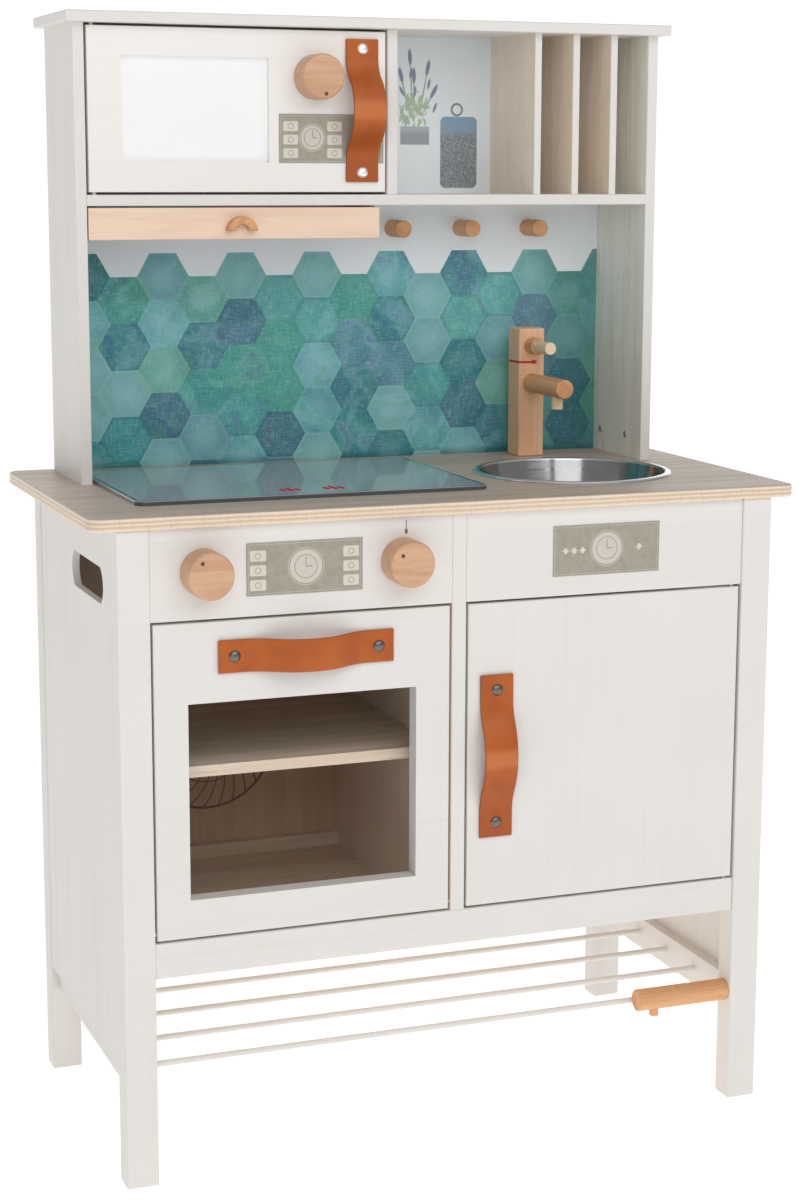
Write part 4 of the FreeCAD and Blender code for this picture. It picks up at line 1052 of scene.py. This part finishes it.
@dataclass
class Controls:
    """Turned knobs and the printed control plates."""

    face: dict[str, Pair] = field(default_factory=lambda: {
        "oven_knob_left": (-7.0, 10.5), "oven_knob_right": (-8.7, 7.5), "microwave_knob": (2.0, -14.0)})

    def dress(self) -> None:
        """A pip on each knob's face, and keys and a dial on each plate."""
        for name, (across, up) in self.face.items():
            low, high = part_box(name)
            spot = ((low.x + high.x) / 2 / MM + across, (low.z + high.z) / 2 / MM + up)
            wood = BareWood(f"{name}_beech", grain=Grain.ACROSS, spots=(spot,), figure=0.8, **BEECH)
            dress(wood.make(), name)
        pips = ((92, 489.5), (99.5, 489.5), (107, 489.5), (157.6, 490))
        plates = (("oven_control_plate", (-128.5, 490.0, 14.7), (-173.8, -98.0), ()),
                  ("cabinet_control_plate", (128.6, 490.2, 14.7), (), pips),
                  ("microwave_control_plate", (-59.0, 817.7, 11.5), (-84.5, -46.0), ()))
        for name, dial, columns, dots in plates:
            low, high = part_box(name)
            print_finish = ControlPrint(name + "_print", (low.x / MM, low.z / MM), (high.x / MM, high.z / MM),
                                        dial, columns, dots)
            dress(print_finish.make(), name)


@dataclass
class Studio:
    """Floor that sweeps up into a wall, soft lights and the camera.

    Attributes:
        floor_tone: Colour of the paper.
        glow: How strongly it shines of itself.
        sky: Strength of the light all round.
        lights: Name, place, side and power of each light.
        target: What the lights face.
        seat: Where the camera is.
        azimuth: The way it looks, in degrees from straight ahead.
        tilt: How far it looks up.
        roll: How far it leans.
        lens: Focal length, in millimetres.
        shift: How far the picture is off its axis.
    """

    floor_tone: Colour = rgb(250, 250, 250)
    glow: float = 0.55
    sky: float = 0.40
    lights: tuple[tuple, ...] = (("key", (0.9, -2.0, 2.1), 1.4, 11.5), ("fill", (-0.5, -1.8, 1.55), 1.3, 9.5),
                                 ("top", (0.2, -0.9, 3.2), 2.6, 4))
    target: tuple[float, float, float] = (0, 0, 0.85)
    seat: tuple[float, float, float] = (-0.6900, -1.8334, 0.7946)
    azimuth: float = -20.858
    tilt: float = -10.232
    roll: float = 0.195
    lens: float = 70.2
    shift: Pair = (-0.0036, -0.0095)

    def sweep(self) -> None:
        """Floor and wall in one curved sheet."""
        bpy.ops.object.select_all(action="DESELECT")
        bpy.ops.mesh.primitive_plane_add(size=12, location=(0, 0, 0))
        floor = bpy.context.object
        floor.name = "studio_sweep"
        bpy.ops.object.mode_set(mode="EDIT")
        bpy.ops.mesh.select_all(action="DESELECT")
        bpy.ops.object.mode_set(mode="OBJECT")
        for edge in floor.data.edges:
            edge.select = all(floor.data.vertices[v].co.y > 5 for v in edge.vertices)
        bpy.ops.object.mode_set(mode="EDIT")
        bpy.ops.mesh.select_mode(type="EDGE")
        bpy.ops.transform.translate(value=(0, -3.0, 0))
        for step in range(10):
            turn = math.radians(9 * (step + 0.5))
            bpy.ops.mesh.extrude_region_move(TRANSFORM_OT_translate={
                "value": (0, 0.25 * math.cos(turn), 0.25 * math.sin(turn))})
        bpy.ops.mesh.extrude_region_move(TRANSFORM_OT_translate={"value": (0, 0, 6)})
        bpy.ops.object.mode_set(mode="OBJECT")
        bpy.ops.object.shade_smooth()
        g = Graph("studio_paper")
        tone = g.mix(g.noise(3.0), self.floor_tone, rgb(246, 246, 246))
        floor.data.materials.append(g.wear(tone, 0.9, Specular_IOR_Level=0.1, Emission_Color=self.floor_tone,
                                           Emission_Strength=self.glow))

    def light(self, name: str, place: tuple[float, float, float], size: float, power: float) -> None:
        """Add a soft square light that faces the kitchen.

        Args:
            name: Name of the light.
            place: Where it stands, in metres.
            size: Its side, in metres.
            power: Its power, in watts.
        """
        lamp = bpy.data.lights.new(name, "AREA")
        lamp.shape, lamp.size, lamp.energy = "SQUARE", size, power
        holder = bpy.data.objects.new(name, lamp)
        bpy.context.collection.objects.link(holder)
        holder.location = place
        holder.rotation_euler = (Vector(self.target) - Vector(place)).to_track_quat("-Z", "Y").to_euler()

    def camera(self) -> None:
        """Set the camera at its seat."""
        turn, rise, lean = (math.radians(v) for v in (self.azimuth, self.tilt, self.roll))
        ahead = Vector((-math.sin(turn) * math.cos(rise), math.cos(turn) * math.cos(rise), math.sin(rise)))
        right = Vector((math.cos(turn), math.sin(turn), 0))
        up = right.cross(ahead)
        side = right * math.cos(lean) + up * math.sin(lean)
        top = up * math.cos(lean) - right * math.sin(lean)
        holder = bpy.data.objects.new("camera", bpy.data.cameras.new("camera"))
        bpy.context.collection.objects.link(holder)
        holder.matrix_world = Matrix((side, top, -ahead)).transposed().to_4x4()
        holder.location = self.seat
        holder.data.sensor_fit, holder.data.sensor_width, holder.data.sensor_height = "AUTO", 36, 36
        holder.data.lens = self.lens
        holder.data.shift_x, holder.data.shift_y = self.shift
        bpy.context.scene.camera = holder

    def build(self) -> None:
        """Sweep, lights, sky and camera."""
        self.sweep()
        for settings in self.lights:
            self.light(*settings)
        world = bpy.data.worlds.new("studio")
        world.use_nodes = True
        background = world.node_tree.nodes["Background"]
        background.inputs[0].default_value = (1, 1, 1, 1)
        background.inputs[1].default_value = self.sky
        bpy.context.scene.world = world
        bpy.context.scene.view_settings.view_transform = "Standard"
        self.camera()


def main() -> None:
    """Build and dress each sub-assembly in turn, then the studio."""
    logging.basicConfig(level=logging.INFO, format="%(name)s: %(message)s")
    BaseFrame().dress()
    Hutch().dress()
    HobSinkTap().dress()
    Doors().build()
    Controls().dress()
    Studio().build()


if __name__ == "__main__":
    main()
